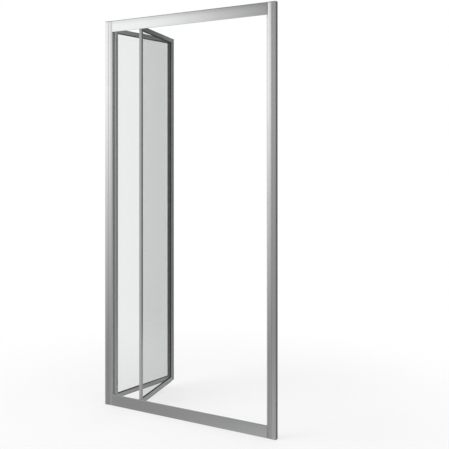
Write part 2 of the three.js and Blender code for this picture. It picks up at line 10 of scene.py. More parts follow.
import bmesh
import bpy
from bpy.props import FloatProperty, FloatVectorProperty, IntProperty, PointerProperty
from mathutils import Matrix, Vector


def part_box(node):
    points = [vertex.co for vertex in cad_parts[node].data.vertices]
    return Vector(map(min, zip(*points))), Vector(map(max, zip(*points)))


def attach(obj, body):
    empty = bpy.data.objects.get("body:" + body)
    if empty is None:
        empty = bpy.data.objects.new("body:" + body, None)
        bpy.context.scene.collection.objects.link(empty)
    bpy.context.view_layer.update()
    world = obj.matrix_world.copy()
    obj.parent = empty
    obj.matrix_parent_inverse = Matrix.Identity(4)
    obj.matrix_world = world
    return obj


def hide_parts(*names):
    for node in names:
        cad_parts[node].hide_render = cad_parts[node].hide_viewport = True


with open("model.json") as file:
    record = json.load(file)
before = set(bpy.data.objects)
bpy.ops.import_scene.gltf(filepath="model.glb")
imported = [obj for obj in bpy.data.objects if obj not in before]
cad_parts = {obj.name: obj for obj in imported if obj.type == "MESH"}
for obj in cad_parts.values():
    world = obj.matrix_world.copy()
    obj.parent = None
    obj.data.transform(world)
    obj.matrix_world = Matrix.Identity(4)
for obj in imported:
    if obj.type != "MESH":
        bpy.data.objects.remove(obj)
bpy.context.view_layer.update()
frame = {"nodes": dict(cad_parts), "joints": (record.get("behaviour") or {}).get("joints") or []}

bl_info = {
    "name": "Bi-fold shower door",
    "version": (1, 0, 0),
    "blender": (4, 5, 0),
    "location": "3D Viewport > Sidebar > Door",
    "description": "Builds the profiles, glass, hinges and seals of a framed bi-fold shower door",
    "category": "Object",
}

SIDES = ("left", "right")
ENDS = ("top", "bottom")
LEAVES = {"a": "hinge", "b": "lead"}


# Sizes and colours

def length(name, default, description):
    return FloatProperty(name=name, default=default, description=description, unit="LENGTH",
                         min=0, precision=5)


def colour(name, default, description):
    return FloatVectorProperty(name=name, default=default, description=description, subtype="COLOR",
                               min=0, max=1, size=3)


def angle(name, degrees, description):
    return FloatProperty(name=name, default=math.radians(degrees), description=description,
                         subtype="ANGLE")


class DoorSizes(bpy.types.PropertyGroup):
    """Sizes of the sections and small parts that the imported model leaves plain."""

    profile_wall: length("Profile wall", 0.0016, "Wall of the aluminium sections")
    seat_gap: length("Seat gap", 0.0003, "Gap between pieces that rest on each other")
    slide_gap: length("Slide gap", 0.0006, "Gap between pieces that slide in each other")
    edge_radius: length("Edge radius", 0.0005, "Radius on the outer edges of the sections")
    inner_radius: length("Inner radius", 0.0003, "Radius in the inner corners of the sections")
    jamb_bow: length("Jamb bow", 0.003, "Fall of a jamb's front towards the doorway")
    jamb_edge_radius: length("Jamb edge radius", 0.0012, "Radius where a jamb's front meets its side")
    front_bulge: length("Front bulge", 0.001, "Crown of the header's and threshold's front")
    header_edge_radius: length("Header edge radius", 0.0025, "Radius on the header's front edges")
    front_edge_radius: length("Front edge radius", 0.0014, "Radius on the front edges of skirt and upstand")
    shadow_gap: length("Shadow gap", 0.0015, "Groove between a jamb and its wall profile")
    channel_lip: length("Channel lip", 0.002, "Lips at the mouth of the guide channels")
    slot_half: length("Half slot", 0.0045, "Half the width of the guide channels' slot")
    front_wall: length("Front wall", 0.003, "Wall of the header's skirt and the threshold's upstand")
    threshold_fall: length("Threshold fall", 0.005, "Fall of the threshold towards the shower")
    key_groove: length("Key groove", 0.0004, "Depth of the fine grooves in hidden faces")
    leaf_edge_radius: length("Leaf edge radius", 0.001, "Radius on the outer edges of the leaves")
    pocket_depth: length("Glazing pocket", 0.007, "Depth of the pocket that holds the glass")
    hinge_groove: length("Hinge groove", 0.004, "Depth of the groove for the fold hinge")
    hinge_tongue: length("Hinge tongue", 0.003, "Thickness of the fold hinge's tongue")
    glass_arris: length("Glass arris", 0.0004, "Width of the ground edge of the glass")
    gasket_leg: length("Gasket leg", 0.0012, "Thickness of a glazing gasket's legs")
    fold_offset: length("Fold offset", 0.007, "From a leaf's middle plane to the fold's axis")
    knuckle_radius: length("Knuckle radius", 0.0044, "Radius of the fold hinge's knuckles")
    knuckle_gap: length("Knuckle gap", 0.0006, "Gap between neighbouring knuckles")
    pin_radius: length("Pin radius", 0.002, "Radius of the fold hinge's pin")
    plastic_radius: length("Plastic radius", 0.0004, "Radius on the edges of moulded parts")
    cap_radius: length("Cap radius", 0.0007, "Radius on the upper edge of the post caps")
    wall_hole_radius: length("Wall screw hole", 0.0026, "Radius of the holes for the wall screws")
    screw_hole_radius: length("Screw hole", 0.0022, "Radius of the holes for the door's own screws")
    axis_pin_radius: length("Axis pin radius", 0.0035, "Radius of the leaves' pivot and guide pins")
    pin_plate: length("Pin plate", 0.0015, "Thickness of the plate between a pin and its plug")
    gasket_back: length("Gasket back", 0.001, "Thickness of a gasket's back")
    screw_rise: length("Screw dome", 0.0007, "Rise of a pan head's dome")
    leaf_screw_radius: length("Leaf screw", 0.0026, "Radius of the leaves' corner screws")
    leaf_screw_rise: length("Leaf screw dome", 0.0004, "Rise of the leaves' corner screws")


class DoorCounts(bpy.types.PropertyGroup):
    """How finely curves are drawn, and how many knuckles the hinge has."""

    corner_steps: IntProperty(name="Corner steps", default=4, min=1,
                              description="Steps on a rounded corner of a section")
    bow_steps: IntProperty(name="Bow steps", default=20, min=2,
                           description="Steps across a bowed face")
    round_steps: IntProperty(name="Round steps", default=32, min=8,
                             description="Sides on turned parts")
    knuckle_count: IntProperty(name="Knuckles", default=11, min=3,
                               description="Knuckles of the fold hinge, both halves together")


class DoorColours(bpy.types.PropertyGroup):
    """Base colours of the finishes."""

    aluminium: colour("Aluminium", (0.93, 0.935, 0.94), "Bright anodised aluminium")
    steel: colour("Steel", (0.62, 0.63, 0.64), "Stainless steel of pins and screws")
    glass: colour("Glass", (0.9, 0.91, 0.91), "Clear safety glass, as the light through it")
    gasket: colour("Gasket", (0.045, 0.047, 0.05), "Dark grey glazing gaskets and seals")
    dark_plastic: colour("Dark plastic", (0.022, 0.022, 0.024), "Fold hinge and pivot blocks")
    grey_plastic: colour("Grey plastic", (0.3, 0.31, 0.32), "Caps, shoes and strike")
    magnet: colour("Magnet strip", (0.42, 0.425, 0.43), "Magnet strip on the leading leaf")
    side_seal: colour("Side seal", (0.46, 0.465, 0.465), "Grey seal on the left jamb's inner face")
    strike: colour("Strike", (0.78, 0.78, 0.77), "Pale strike on the right jamb")


class StageSizes(bpy.types.PropertyGroup):
    """The camera and the light."""

    camera_place: FloatVectorProperty(name="Camera place", default=(1.6582, -2.7716, 1.1724), size=3,
                                      subtype="TRANSLATION", description="Where the camera stands")
    camera_turn: angle("Camera turn", 29.954, "Turn of the level camera from +Y towards -X")
    focal_length: FloatProperty(name="Focal length", default=57.007, unit="CAMERA",
                                description="Focal length in millimetres on a 36 mm wide sensor")
    shift: FloatVectorProperty(name="Shift", default=(0.05912, -0.13984), size=2,
                               description="Shift of the lens, as shares of the sensor")
    floor_size: length("Floor size", 30.0, "Length of the floor's sides")
    key_power: FloatProperty(name="Key power", default=60, unit="POWER",
                             description="Power of the large soft key light")


def sizes():
    return bpy.context.scene.door_sizes


def counts():
    """How finely curves are drawn, and how many knuckles the hinge has."""
    return bpy.context.scene.door_counts


# Sections and places

class Place:
    """Axes for a piece: across from an origin, through at right angles to it, and up."""

    def __init__(self, origin=(0, 0), turn=0.0, mirror=1):
        self.origin = Vector((origin[0], origin[1], 0))
        self.across = Vector((math.cos(turn), math.sin(turn), 0))
        self.through = Vector((-math.sin(turn), math.cos(turn), 0)) * mirror
        self.turn = turn

    def world(self, across, through, up):
        return self.origin + self.across * across + self.through * through + Vector((0, 0, up))

    def extent(self, node):
        """The node's reach in these axes, as three pairs of low and high."""
        points = [vertex.co - self.origin for vertex in frame["nodes"][node].data.vertices]
        axes = (self.across, self.through, Vector((0, 0, 1)))
        return [(min(p.dot(axis) for p in points), max(p.dot(axis) for p in points)) for axis in axes]


WORLD = Place()
HALF_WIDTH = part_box("wall_profile_right")[1].x
POST = {"left": Place((-HALF_WIDTH, 0)), "right": Place((HALF_WIDTH, 0), math.pi, -1)}


def joint_place(name):
    found = next(joint for joint in frame["joints"] if joint["name"] == name)
    return Vector(found["pos_m"][:2])


def leaf_place(letter):
    """A leaf's axes: from its turning axis to the fold, and through its thickness."""
    start = joint_place("leaf_a_swing" if letter == "a" else "guide_top_pivot")
    link = joint_place("fold_hinge") - start
    lean = math.asin(sizes().fold_offset / link.length)
    heading = math.atan2(link.y, link.x)
    return Place(start, heading + lean, 1) if letter == "a" else Place(start, heading - lean, -1)


def rounded(corners, steps=None):
    """An outline from corners given as (u, v) or as (u, v, radius)."""
    steps = steps or counts().corner_steps
    points = []
    for index, (u, v, *rest) in enumerate(corners):
        radius = rest[0] if rest else 0
        if radius == 0:
            points.append((u, v))
            continue
        here = Vector((u, v))
        back = (Vector(corners[index - 1][:2]) - here).normalized()
        ahead = (Vector(corners[(index + 1) % len(corners)][:2]) - here).normalized()
        half = back.angle(ahead) / 2
        centre = here + (back + ahead).normalized() * radius / math.sin(half)
        start = here + back * radius / math.tan(half) - centre
        end = here + ahead * radius / math.tan(half) - centre
        sweep = start.angle(end)
        for step in range(steps + 1):
            share = step / steps
            spoke = start * math.sin((1 - share) * sweep) + end * math.sin(share * sweep)
            points.append(tuple(centre + spoke / math.sin(sweep)))
    return points


def bow(start, control, end):
    """The points of a bowed face between two corners, without the corners."""
    steps = counts().bow_steps
    start, control, end = (Vector(point) for point in (start, control, end))
    shares = [step / steps for step in range(1, steps)]
    return [tuple(start * (1 - t) ** 2 + control * 2 * t * (1 - t) + end * t ** 2) for t in shares]


def box_outline(us, vs, radius=0, steps=None):
    """A rectangle from its low and high u and its low and high v."""
    corners = [(us[0], vs[0]), (us[1], vs[0]), (us[1], vs[1]), (us[0], vs[1])]
    return rounded([(*corner, radius) for corner in corners], steps)


def on_circle(centre, radius, turns):
    return [(centre[0] + radius * math.cos(turn), centre[1] + radius * math.sin(turn)) for turn in turns]


def circle(centre, radius, steps=None):
    steps = steps or counts().round_steps
    return on_circle(centre, radius, [step / steps * math.tau for step in range(steps)])


def arc(centre, radius, start, end, steps):
    return on_circle(centre, radius, [start + (end - start) * step / steps for step in range(steps + 1)])


def prism(mesh, loops, ends, world):
    """A run of a section between two ends. The first loop is its outside, the rest its chambers."""
    rings = [[[mesh.verts.new(world(u, v, end)) for u, v in loop] for end in ends] for loop in loops]
    for near, far in rings:
        for index in range(len(near)):
            after = (index + 1) % len(near)
            mesh.faces.new((near[index], near[after], far[after], far[index]))
    for end in (0, 1):
        edges = [mesh.edges.get((ring[end][index], ring[end][index - 1]))
                 for ring in rings for index in range(len(ring[end]))]
        bmesh.ops.triangle_fill(mesh, use_beauty=True, edges=edges)


def turned(mesh, profile, world, steps=None):
    """A turned part from (radius, height) points that start and end on its axis."""
    steps = steps or counts().round_steps
    rings = []
    for radius, height in profile:
        if radius == 0:
            rings.append([mesh.verts.new(world(0, 0, height))])
        else:
            rings.append([mesh.verts.new(world(u, v, height)) for u, v in circle((0, 0), radius, steps)])
    for lower, upper in zip(rings, rings[1:]):
        for index in range(steps):
            after = (index + 1) % steps
            corners = [lower[index % len(lower)], lower[after % len(lower)],
                       upper[after % len(upper)], upper[index % len(upper)]]
            mesh.faces.new(list(dict.fromkeys(corners)))


def across_run(place):
    """For a section drawn through and up, run across. A section run upwards takes place.world."""
    return lambda through, up, across: place.world(across, through, up)


def through_run(place):
    """For a section drawn across and up, run through."""
    return lambda across, up, through: place.world(across, through, up)


# Making pieces

SHARP_FROM = math.radians(35)
BEVEL_SEGMENTS = 3


def placed(name, data):
    """A new object in the scene."""
    made = bpy.data.objects.new(name, data)
    bpy.context.scene.collection.objects.link(made)
    return made


def built(mesh, name, material):
    """An object from a bmesh."""
    data = bpy.data.meshes.new(name)
    mesh.to_mesh(data)
    mesh.free()
    data.materials.append(material)
    return placed(name, data)


def finished(mesh, name, material):
    """An object from a bmesh, with faces out, smooth over its curves and sharp at its corners."""
    bmesh.ops.recalc_face_normals(mesh, faces=mesh.faces)
    return shaded(built(mesh, name, material))


def shaded(piece):
    piece.data.shade_smooth()
    piece.data.set_sharp_from_angle(angle=SHARP_FROM)
    weighted = piece.modifiers.new("Flat faces stay flat", "WEIGHTED_NORMAL")
    weighted.keep_sharp = True
    return baked(piece)


def baked(piece):
    """The piece with its modifiers made part of its mesh."""
    bpy.context.view_layer.update()
    evaluated = piece.evaluated_get(bpy.context.evaluated_depsgraph_get())
    data = bpy.data.meshes.new_from_object(evaluated)
    data.name = piece.name
    piece.modifiers.clear()
    piece.data = data
    return piece


def run(name, loops, ends, world, material):
    mesh = bmesh.new()
    prism(mesh, loops, ends, world)
    return finished(mesh, name, material)


def drilled(piece, *cutters):
    """The piece with the cutters taken out of it. Each is an outline, its two ends and its axes."""
    mesh = bmesh.new()
    for outline, ends, world in cutters:
        prism(mesh, [outline], ends, world)
    tool = finished(mesh, piece.name + "_cutter", piece.data.materials[0])
    boolean = piece.modifiers.new("Holes", "BOOLEAN")
    boolean.operation = "DIFFERENCE"
    boolean.solver = "EXACT"
    boolean.object = tool
    baked(piece)
    bpy.data.objects.remove(tool)
    return shaded(piece)


def bores(centres, radius, ends, world):
    """Cutters for round holes of one radius and depth."""
    return [(circle(centre, radius), ends, world) for centre in centres]


def softened(piece, radius):
    """The piece with its sharp edges rounded."""
    bevel = piece.modifiers.new("Edges", "BEVEL")
    bevel.width = radius
    bevel.segments = BEVEL_SEGMENTS
    bevel.limit_method = "ANGLE"
    bevel.angle_limit = SHARP_FROM
    bevel.harden_normals = False
    baked(piece)
    return shaded(piece)


def merged(name, pieces):
    """One piece from several whose solids belong together."""
    mesh = bmesh.new()
    for piece in pieces:
        mesh.from_mesh(piece.data)
    whole = built(mesh, name, pieces[0].data.materials[0])
    for piece in pieces:
        bpy.data.objects.remove(piece)
    return shaded(whole)


def settled(piece, body, slot, *nodes):
    """The piece rides on its body and stands for the nodes."""
    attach(piece, body)
    if nodes:
        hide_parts(*nodes)
    return piece


def carried_over(node, material):
    """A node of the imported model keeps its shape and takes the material."""
    data = frame["nodes"][node].data
    data.materials.clear()
    data.materials.append(material)


# Materials

def new_group(name, inputs, outputs):
    """An empty shader group with float inputs, apart from its vector, and float outputs."""
    group = bpy.data.node_groups.new(name, "ShaderNodeTree")
    group.interface.new_socket("Vector", in_out="INPUT", socket_type="NodeSocketVector")
    for label, value in inputs.items():
        socket = group.interface.new_socket(label, in_out="INPUT", socket_type="NodeSocketFloat")
        socket.default_value = value
    for label in outputs:
        group.interface.new_socket(label, in_out="OUTPUT", socket_type="NodeSocketFloat")
    return group, group.nodes.new("NodeGroupInput"), group.nodes.new("NodeGroupOutput")


def node(tree, kind, settings=None, **sockets):
    """A node with its settings, and its sockets set or linked by name."""
    made = tree.nodes.new(kind)
    for name, value in (settings or {}).items():
        setattr(made, name, value)
    for name, value in sockets.items():
        socket = made.inputs[int(name[1:]) if name[1:].isdigit() else name.replace("_", " ")]
        if isinstance(value, bpy.types.NodeSocket):
            tree.links.new(value, socket)
        else:
            socket.default_value = value
    return made


def maths(tree, operation, first, second=0.0):
    return node(tree, "ShaderNodeMath", {"operation": operation}, i0=first, i1=second).outputs[0]


def ranged(tree, value, low, high, to_low, to_high, smooth=False):
    kind = "SMOOTHSTEP" if smooth else "LINEAR"
    made = node(tree, "ShaderNodeMapRange", {"interpolation_type": kind}, Value=value,
                From_Min=low, From_Max=high, To_Min=to_low, To_Max=to_high)
    return made.outputs[0]


LINE_HEIGHTS = (0.7, 1.3)
BROAD_LINES = 0.12
MARKS_START, MARKS_SPREAD, COVERAGE_SHARE = 0.8, 0.25, 0.5
PIT_SHARE = 0.5
GRAIN_HEIGHTS = (0.3, 0.7)


def die_lines_group(name):
    """Fine lines that a die leaves along an extrusion, which runs along the vector's Z."""
    tree, given, out = new_group(name, {"Lines per metre": 2500, "Stretch": 600}, ["Height", "Tone"])
    fine = given.outputs["Lines per metre"]
    along = maths(tree, "DIVIDE", fine, given.outputs["Stretch"])
    scale = node(tree, "ShaderNodeCombineXYZ", X=fine, Y=fine, Z=along).outputs[0]
    place = node(tree, "ShaderNodeVectorMath", {"operation": "MULTIPLY"},
                 i0=given.outputs["Vector"], i1=scale).outputs[0]
    lines = node(tree, "ShaderNodeTexNoise", Vector=place, Scale=1.0, Detail=3.0, Roughness=0.6)
    broad = node(tree, "ShaderNodeTexNoise", Vector=place, Scale=BROAD_LINES, Detail=2.0, Roughness=0.5)
    height = maths(tree, "ADD", lines.outputs[0], broad.outputs[0])
    tree.links.new(height, out.inputs["Height"])
    tree.links.new(ranged(tree, height, *LINE_HEIGHTS, 0, 1), out.inputs["Tone"])
    return tree


def soft_marks_group(name):
    """Cloudy wipe marks of a given size, from 0 for clean to 1 for marked."""
    tree, given, out = new_group(name, {"Marks per metre": 9, "Coverage": 0.5}, ["Mask"])
    cloud = node(tree, "ShaderNodeTexNoise", Vector=given.outputs["Vector"],
                 Scale=given.outputs["Marks per metre"], Detail=5.0, Roughness=0.55, Distortion=0.6)
    covered = maths(tree, "MULTIPLY", given.outputs["Coverage"], COVERAGE_SHARE)
    amount = maths(tree, "SUBTRACT", cloud.outputs[0], maths(tree, "SUBTRACT", MARKS_START, covered))
    tree.links.new(ranged(tree, amount, 0, MARKS_SPREAD, 0, 1, True), out.inputs["Mask"])
    return tree


def moulded_grain_group(name):
    """The fine even grain of moulded plastic and extruded rubber."""
    tree, given, out = new_group(name, {"Grains per metre": 2200}, ["Height", "Tone"])
    grain = node(tree, "ShaderNodeTexNoise", Vector=given.outputs["Vector"],
                 Scale=given.outputs["Grains per metre"], Detail=2.0, Roughness=0.5)
    pits = node(tree, "ShaderNodeTexVoronoi", Vector=given.outputs["Vector"],
                Scale=given.outputs["Grains per metre"])
    pitted = maths(tree, "MULTIPLY", pits.outputs["Distance"], PIT_SHARE)
    tree.links.new(maths(tree, "ADD", grain.outputs[0], pitted), out.inputs["Height"])
    tree.links.new(ranged(tree, grain.outputs[0], *GRAIN_HEIGHTS, 0, 1), out.inputs["Tone"])
    return tree


def shared_tree(name):
    """The shader group or Geometry Nodes tree of this name, built once."""
    return bpy.data.node_groups.get(name) or TREE_MAKERS[name](name)


def effect(tree, name, vector, **values):
    """One of the shared effects, placed in a material with its own values."""
    made = tree.nodes.new("ShaderNodeGroup")
    made.node_tree = shared_tree(name)
    tree.links.new(vector, made.inputs["Vector"])
    for label, value in values.items():
        made.inputs[label.replace("_", " ")].default_value = value
    return made


def blank(name):
    """A new material's tree, its shader and its object coordinates."""
    material = bpy.data.materials.new(name)
    material.use_nodes = True
    tree = material.node_tree
    shader = tree.nodes["Principled BSDF"]
    return material, tree, shader, node(tree, "ShaderNodeTexCoord").outputs["Object"]


def bumped(tree, shader, height, strength, distance):
    bump = node(tree, "ShaderNodeBump", Strength=strength, Distance=distance, Height=height)
    tree.links.new(bump.outputs[0], shader.inputs["Normal"])


def toned(tree, base, tone, depth):
    """The base colour, darkened by depth where the tone is 1."""
    dark = [channel * (1 - depth) for channel in base]
    mix = node(tree, "ShaderNodeMix", {"data_type": "RGBA"}, i0=tone, i6=(*base, 1), i7=(*dark, 1))
    return mix.outputs[2]


# Roughness, lines per metre and depth of the lines, by the colour that they go with
METALS = {
    "aluminium": (0.2, 2500, 0.000006),
    "steel": (0.3, 4000, 0.00002),
}
LINE_TONE_SHARE = 0.6
LINE_SHADE = 0.06
LINE_BUMP = 0.1
ROUGHNESS_SPREAD = 0.15
HAZE_SHARE = 0.25


def metal(name, kind, turn):
    """A metal with die lines that follow the piece after it is turned onto Z."""
    found = bpy.data.materials.get(name)
    if found:
        return found
    material, tree, shader, place = blank(name)
    roughness, lines, depth = METALS[kind]
    base = getattr(bpy.context.scene.door_colours, kind)
    along = node(tree, "ShaderNodeMapping", Vector=place, Rotation=turn).outputs[0]
    drawn = effect(tree, "Die lines", along, Lines_per_metre=lines)
    marks = effect(tree, "Soft marks", place, Marks_per_metre=7, Coverage=0.55)
    tone = maths(tree, "MULTIPLY", drawn.outputs["Tone"], LINE_TONE_SHARE)
    tree.links.new(toned(tree, base, tone, LINE_SHADE), shader.inputs["Base Color"])
    rough = ranged(tree, drawn.outputs["Tone"], 0, 1, roughness * (1 - ROUGHNESS_SPREAD),
                   roughness * (1 + ROUGHNESS_SPREAD))
    haze = maths(tree, "MULTIPLY", marks.outputs["Mask"], roughness * HAZE_SHARE)
    tree.links.new(maths(tree, "ADD", rough, haze), shader.inputs["Roughness"])
    shader.inputs["Metallic"].default_value = 1
    bumped(tree, shader, drawn.outputs["Height"], LINE_BUMP, depth)
    return material


def aluminium(heading=None):
    """Bright anodised aluminium. Its lines run upwards, or along a heading on the ground."""
    if heading is None:
        return metal("Bright aluminium upright", "aluminium", (0, 0, 0))
    name = f"Bright aluminium at {math.degrees(heading):.0f} degrees"
    return metal(name, "aluminium", (0, -math.pi / 2, -heading))


def steel():
    """Plain stainless steel, turned, so its fine lines run round."""
    return metal("Stainless steel", "steel", (0, math.pi / 2, 0))


GLASS_IOR = 1.5
MARKED_GLASS_ROUGHNESS = 0.02


def glass():
    """Clear glass, with faint wipe marks that only its gloss shows."""
    found = bpy.data.materials.get("Clear glass")
    if found:
        return found
    material, tree, shader, place = blank("Clear glass")
    shader.inputs["Base Color"].default_value = (*bpy.context.scene.door_colours.glass, 1)
    shader.inputs["Transmission Weight"].default_value = 1
    shader.inputs["IOR"].default_value = GLASS_IOR
    marks = effect(tree, "Soft marks", place, Marks_per_metre=5, Coverage=0.4)
    tree.links.new(ranged(tree, marks.outputs["Mask"], 0, 1, 0, MARKED_GLASS_ROUGHNESS),
                   shader.inputs["Roughness"])
    return material


# Name, roughness, grains per metre and depth of the grain, by the colour that they go with
MOULDED = {
    "gasket": ("Grey gasket rubber", 0.55, 2600, 0.00003),
    "side_seal": ("Grey side seal", 0.5, 2600, 0.00003),
    "magnet": ("Magnet strip", 0.6, 3000, 0.00002),
    "dark_plastic": ("Dark plastic", 0.4, 1800, 0.00003),
    "grey_plastic": ("Grey plastic", 0.45, 1800, 0.00003),
    "strike": ("Pale plastic", 0.45, 1800, 0.00003),
}
GRAIN_SHADE = 0.12
GRAIN_BUMP = 0.3
MARKED_ROUGHNESS_SHARE = 1.2


def moulded(kind):
    """A moulded or extruded plastic or rubber."""
    name, roughness, grain, depth = MOULDED[kind]
    found = bpy.data.materials.get(name)
    if found:
        return found
    material, tree, shader, place = blank(name)
    base = getattr(bpy.context.scene.door_colours, kind)
    surface = effect(tree, "Moulded grain", place, Grains_per_metre=grain)
    marks = effect(tree, "Soft marks", place, Marks_per_metre=25, Coverage=0.6)
    tree.links.new(toned(tree, base, surface.outputs["Tone"], GRAIN_SHADE), shader.inputs["Base Color"])
    rough = ranged(tree, marks.outputs["Mask"], 0, 1, roughness, roughness * MARKED_ROUGHNESS_SHARE)
    tree.links.new(rough, shader.inputs["Roughness"])
    bumped(tree, shader, surface.outputs["Height"], GRAIN_BUMP, depth)
    return material


# The frame: wall profiles, jambs, caps, header and threshold
# In a section, r is the radius of its outer corners and q that of its inner ones.

ROWS = ("bottom", "middle", "top")
WALL_SCREW_SHARES = (0.08, 0.5, 0.92)
JAMB_CREST_SHARE = 0.25
WEEP_SHARES = (-0.35, 0, 0.35)
WEEP_WIDTH = 0.03
WEEP_HEIGHT = 0.003
WEEP_ROUND_SHARE = 0.45
ROUND_REACH = 1.5


def middle(low_high):
    return (low_high[0] + low_high[1]) / 2


def node_middle(name):
    low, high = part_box(name)
    return (low + high) / 2


def lock_bores(side, ends):
    """The holes for the screws that fix a jamb in its wall profile."""
    post = POST[side]
    across = middle(post.extent(f"lock_screw_top_{side}")[0])
    centres = [(across, node_middle(f"lock_screw_{row}_{side}").z) for row in ROWS]
    return bores(centres, sizes().screw_hole_radius, ends, through_run(post))


def wall_profile(side):
    """The U channel that is screwed to the wall, with a groove in its web to start the drill in."""
    s = sizes()
    wall, r, q, groove = s.profile_wall, s.edge_radius, s.inner_radius, s.key_groove
    post = POST[side]
    (_, reach), (front, back), heights = post.extent(f"wall_profile_{side}")
    plane = middle((front, back))
    outline = rounded([
        (0, front, r), (reach, front, r), (reach, front + wall, q), (wall, front + wall, q),
        (wall, plane - groove), (wall - groove, plane), (wall, plane + groove),
        (wall, back - wall, q), (reach, back - wall, q), (reach, back, r), (0, back, r),
    ])
    piece = run(f"wall_channel_{side}", [outline], heights, post.world, aluminium())
    wall_holes = bores([(plane, share * heights[1]) for share in WALL_SCREW_SHARES],
                       s.wall_hole_radius, (-wall, 2 * wall), across_run(post))
    drilled(piece, *wall_holes, *lock_bores(side, (plane, back + wall)))
    return settled(piece, "frame", "bright_aluminium", f"wall_profile_{side}")


def post_front(shoulder, width, front):
    """A jamb's bowed front, from its square edge beside the wall to its round one at the doorway."""
    s = sizes()
    fall = front + s.jamb_bow
    crown = bow((shoulder, front), (middle((shoulder, width)), front + s.jamb_bow * JAMB_CREST_SHARE),
                (width, fall))
    before_edge = width - 2 * s.jamb_edge_radius
    return [(shoulder, front, s.edge_radius), *[point for point in crown if point[0] < before_edge],
            (width, fall, s.jamb_edge_radius)]


def jamb(side):
    """The post that slides into the wall profile on its tongue."""
    s = sizes()
    wall, r, q = s.profile_wall, s.edge_radius, s.inner_radius
    post = POST[side]
    (start, width), (front, back), heights = post.extent(f"jamb_{side}")
    (_, reach), (channel_front, channel_back), _ = post.extent(f"wall_profile_{side}")
    shoulder = reach + s.shadow_gap
    tongue_front = channel_front + wall + s.slide_gap
    tongue_back = channel_back - wall - s.slide_gap
    face = post_front(shoulder, width, front)
    outline = rounded([
        (start, tongue_front, r), (shoulder, tongue_front, q), *face, (width, back, r),
        (shoulder, back, r), (shoulder, tongue_back, q), (start, tongue_back, r),
    ])
    inner_front = [(d, v + wall) for d, v, *_ in face[1:-1] if shoulder + 2 * wall < d < width - 2 * wall]
    chamber = rounded([
        (shoulder + wall, front + wall, q), *inner_front, (width - wall, front + s.jamb_bow + wall, q),
        (width - wall, back - wall, q), (shoulder + wall, back - wall, q),
    ])
    tongue_chamber = box_outline((start + wall, shoulder), (tongue_front + wall, tongue_back - wall), q)
    piece = run(f"jamb_post_{side}", [outline, chamber, tongue_chamber], heights, post.world,
                aluminium())
    low, high = post.extent(f"corner_screw_top_{side}")[1]
    plane = middle((low, high))
    centres = [(plane, node_middle(f"corner_screw_{end}_{side}").z) for end in ENDS]
    small = bores(centres, s.screw_hole_radius, (width - 2 * wall, width + wall), across_run(post))
    access = bores(centres, (high - low) / 2 + 2 * s.seat_gap, (start - wall, shoulder + 2 * wall),
                   across_run(post))
    drilled(piece, *small, *access, *lock_bores(side, (plane, channel_back)))
    return settled(piece, "frame", "bright_aluminium", f"jamb_{side}")


def post_cap(side):
    """The moulded cap on a post, with a plug that grips the tongue's hollow."""
    s = sizes()
    wall, gap, r = s.profile_wall, s.seat_gap, s.edge_radius
    post = POST[side]
    (_, width), (front, back), (plug_low, top) = post.extent(f"jamb_cap_{side}")
    (start, _), _, (_, jamb_top) = post.extent(f"jamb_{side}")
    (_, reach), (channel_front, channel_back), _ = post.extent(f"wall_profile_{side}")
    shoulder = reach + s.shadow_gap
    outline = rounded([
        (0, front, r), (shoulder, front), *post_front(shoulder, width, front)[1:],
        (width, back, r), (shoulder, back, r), (shoulder, channel_back), (0, channel_back, r),
    ])
    plate_low = jamb_top + gap
    plate = run("cap_plate", [outline], (plate_low, top), post.world, moulded("grey_plastic"))
    softened(plate, s.cap_radius)
    inset = 2 * wall + s.slide_gap + gap
    plug_outline = box_outline((start + wall + gap, shoulder - gap),
                               (channel_front + inset, channel_back - inset), s.plastic_radius)
    plug = run("cap_plug", [plug_outline], (plug_low, middle((plate_low, top))), post.world,
               moulded("grey_plastic"))
    return settled(merged(f"post_cap_{side}", [plate, plug]), "frame", "grey_plastic", f"jamb_cap_{side}")


class SHOWER_DOOR_OT_posts(bpy.types.Operator):
    """Build the wall profiles, jambs and post caps"""

    bl_idname = "shower_door.posts"
    bl_label = "Posts"

    def execute(self, context):
        for side in SIDES:
            wall_profile(side)
            jamb(side)
            post_cap(side)
        return {"FINISHED"}


def channel_of(end):
    """Half the width of a guide channel, its floor and its top, from the block that fills it."""
    gap = sizes().seat_gap
    _, (_, half), (low, high) = WORLD.extent(f"pivot_block_{end}")
    return half + gap, low - gap, high + gap


def bowed_front(edge, top, bottom, top_radius, bottom_radius):
    """A rail's bowed front from its top corner to its bottom one."""
    bulge = sizes().front_bulge
    crown = bow((edge, top), (edge - 2 * bulge, middle((top, bottom))), (edge, bottom))
    low, high = bottom + ROUND_REACH * bottom_radius, top - ROUND_REACH * top_radius
    return [(edge, top, top_radius), *[point for point in crown if low < point[1] < high],
            (edge, bottom, bottom_radius)]


